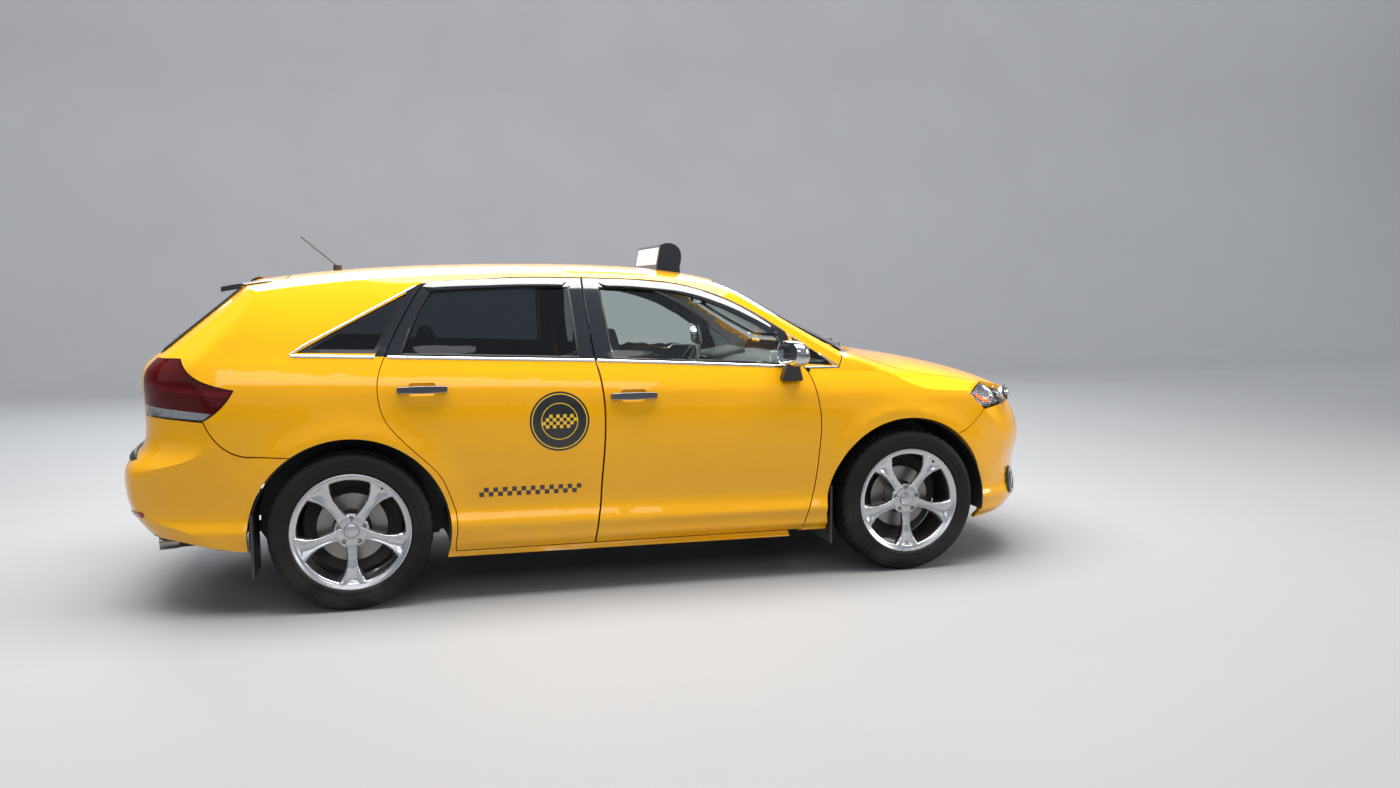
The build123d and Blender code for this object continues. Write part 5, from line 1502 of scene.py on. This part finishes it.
# Steering wheel: stitched leather grip over the ring, hub pad and the stalks behind it
wheel_middle = Vector((0.560, 0.370, 0.960))
tilt = math.radians(26)
wheel_axis = Vector((-math.cos(tilt), 0, math.sin(tilt)))
wheel_place = Matrix.Translation(wheel_middle) @ wheel_axis.to_track_quat("Z", "Y").to_matrix().to_4x4()
bpy.ops.mesh.primitive_torus_add(major_radius=0.178, minor_radius=0.0148, major_segments=96,
                                 minor_segments=20)
grip = bpy.context.object
grip.name = "wheel_grip"
grip.data.transform(wheel_place)
grip.data.materials.append(grip_leather)
bpy.ops.object.shade_smooth()
bpy.ops.mesh.primitive_uv_sphere_add(segments=40, ring_count=20, radius=0.074)
hub_pad = bpy.context.object
hub_pad.data.transform(wheel_place @ Matrix.Diagonal((1.0, 1.15, 0.42, 1.0)))
hub_pad.data.materials.append(trim_plastic)
bpy.ops.object.shade_smooth()
arms = []
for turn_angle in (0, 180, 270):
    bpy.ops.mesh.primitive_cube_add(size=1)
    arm = bpy.context.object
    arm.data.transform(Matrix.Diagonal((0.120, 0.034, 0.016, 1)))
    applied(arm, "BEVEL", width=0.006, segments=3, limit_method="NONE")
    arm.data.transform(wheel_place @ Matrix.Rotation(math.radians(turn_angle + 90), 4, "Z")
                       @ Matrix.Translation((0.110, 0, -0.004)))
    arm.data.materials.append(bright if turn_angle != 270 else trim_plastic)
    bpy.ops.object.shade_smooth_by_angle(angle=math.radians(35))
    arms.append(arm)
steering = fitted([grip, hub_pad, *arms], "steering_wheel_dressed", "steering_wheel")
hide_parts("steering_wheel")
stalks = []
for side in (-1, 1):
    bpy.ops.mesh.primitive_cylinder_add(vertices=16, radius=0.007, depth=0.130)
    stalk = bpy.context.object
    stalk.data.transform(Matrix.Translation(wheel_middle - wheel_axis * 0.065
                                            + Vector((0, side * 0.085, 0)))
                         @ Matrix.Rotation(math.radians(90 + side * 12), 4, "X"))
    stalk.data.materials.append(black_plastic)
    stalks.append(stalk)
fitted(stalks, "column_stalks")

# Inner mirror and sun visors
inner_mirror = moulded("inner_mirror_case", (0.030, 0.250, 0.066), (0.560, 0.0, 1.415), 0.013,
                       black_plastic, (0, -8, 0))
inner_pane = moulded("inner_mirror_pane", (0.004, 0.232, 0.052), (0.543, 0.0, 1.4135), 0.0015,
                     mirror_silver, (0, -8, 0), 2)
stem = moulded("inner_mirror_stem", (0.050, 0.016, 0.016), (0.592, 0.0, 1.440), 0.005, black_plastic,
               (0, -35, 0))
fitted([inner_mirror, inner_pane, stem], "inner_mirror")
shades = [moulded(f"sun_visor_{side}", (0.150, 0.420, 0.018), (0.390, side * 0.330, 1.505), 0.008,
                  headlining, (0, 9, 0)) for side in (-1, 1)]
fitted(shades, "sun_visors")

# Plain display of the colours, so that the enamel keeps its strength.
bpy.context.scene.view_settings.view_transform = "Standard"
bpy.context.scene.view_settings.exposure = 0.20

# Studio: a pale floor that curves up into a backdrop, a soft sky of light panels, and the camera where
# the photograph was taken from. The sweep is one ribbon, drawn as a section and pulled across.
section = [(-34.0, 0.0), (11.0, 0.0)]
section += [(11.0 + 6.0 * math.sin(math.radians(a)), 6.0 - 6.0 * math.cos(math.radians(a)))
            for a in range(6, 91, 6)]
section += [(17.0, 22.0)]
sweep = from_points("studio_sweep", [(x, y, z) for y, z in section for x in (-90.0, 90.0)],
                    [(2 * i, 2 * i + 1, 2 * i + 3, 2 * i + 2) for i in range(len(section) - 1)])
alone(sweep)
bpy.ops.object.shade_smooth()
sweep.data.materials.append(finish("studio_sweep", (0.26, 0.26, 0.263), (0.25, 0.25, 0.253), 0.65,
                                   grain=60, bump=0.0, tone=0.6))

world = bpy.data.worlds.new("studio_air")
world.use_nodes = True
world.node_tree.nodes["Background"].inputs["Color"].default_value = (0.80, 0.88, 1.0, 1)
world.node_tree.nodes["Background"].inputs["Strength"].default_value = 0.34
bpy.context.scene.world = world

# (name, place, looks at, width, height, watts, colour)
PANELS = (
    ("sky_panel", (0.0, -0.5, 6.8), (0, 0, 0), 9.0, 5.0, 1350, (1.0, 0.98, 0.95)),
    ("street_panel", (-2.0, -9.0, 4.8), (0, 0, 0.6), 9.0, 2.4, 130, (0.95, 0.97, 1.0)),
    ("nose_panel", (8.5, -3.0, 3.4), (1.5, 0, 0.7), 4.0, 3.0, 220, (1.0, 0.97, 0.92)),
    ("far_panel", (0.0, 8.0, 5.0), (0, 0, 0.8), 12.0, 3.0, 520, (0.9, 0.95, 1.0)),
    ("backdrop_panel", (4.0, 6.0, 11.0), (4.0, 18, 3.0), 50.0, 3.0, 3800, (0.95, 0.97, 1.0)),
)
for name, place, target, width, height, watts, colour in PANELS:
    lamp = bpy.data.lights.new(name, "AREA")
    lamp.shape = "RECTANGLE"
    lamp.size = width
    lamp.size_y = height
    lamp.energy = watts
    lamp.color = colour
    holder = placed(name, lamp)
    holder.location = place
    holder.rotation_euler = (Vector(target) - Vector(place)).to_track_quat("-Z", "Y").to_euler()

# The camera that was fitted to the photograph: its place, its angles, and its focal length in pixels
CAMERA_PLACE = (-1.0189, -6.1789, 1.4906)
FOCAL_PIXELS = 1110
PHOTO_WIDTH = 1400
SENSOR_WIDTH = 36
YAW = math.radians(14.372)
PITCH = math.radians(5.606)
ROLL = math.radians(0.334)
right = Vector((math.cos(YAW), -math.sin(YAW), 0))
ahead = Vector((math.sin(YAW) * math.cos(PITCH), math.cos(YAW) * math.cos(PITCH), -math.sin(PITCH)))
down = ahead.cross(right)
tilted_right = right * math.cos(ROLL) + down * math.sin(ROLL)
tilted_down = down * math.cos(ROLL) - right * math.sin(ROLL)
camera = placed("camera", bpy.data.cameras.new("camera"))
camera.data.sensor_width = SENSOR_WIDTH
camera.data.lens = SENSOR_WIDTH * FOCAL_PIXELS / PHOTO_WIDTH
camera.data.clip_end = 200
turn = Matrix((tilted_right, -tilted_down, -ahead)).transposed()
camera.matrix_world = Matrix.Translation(CAMERA_PLACE) @ turn.to_4x4()
bpy.context.scene.camera = camera
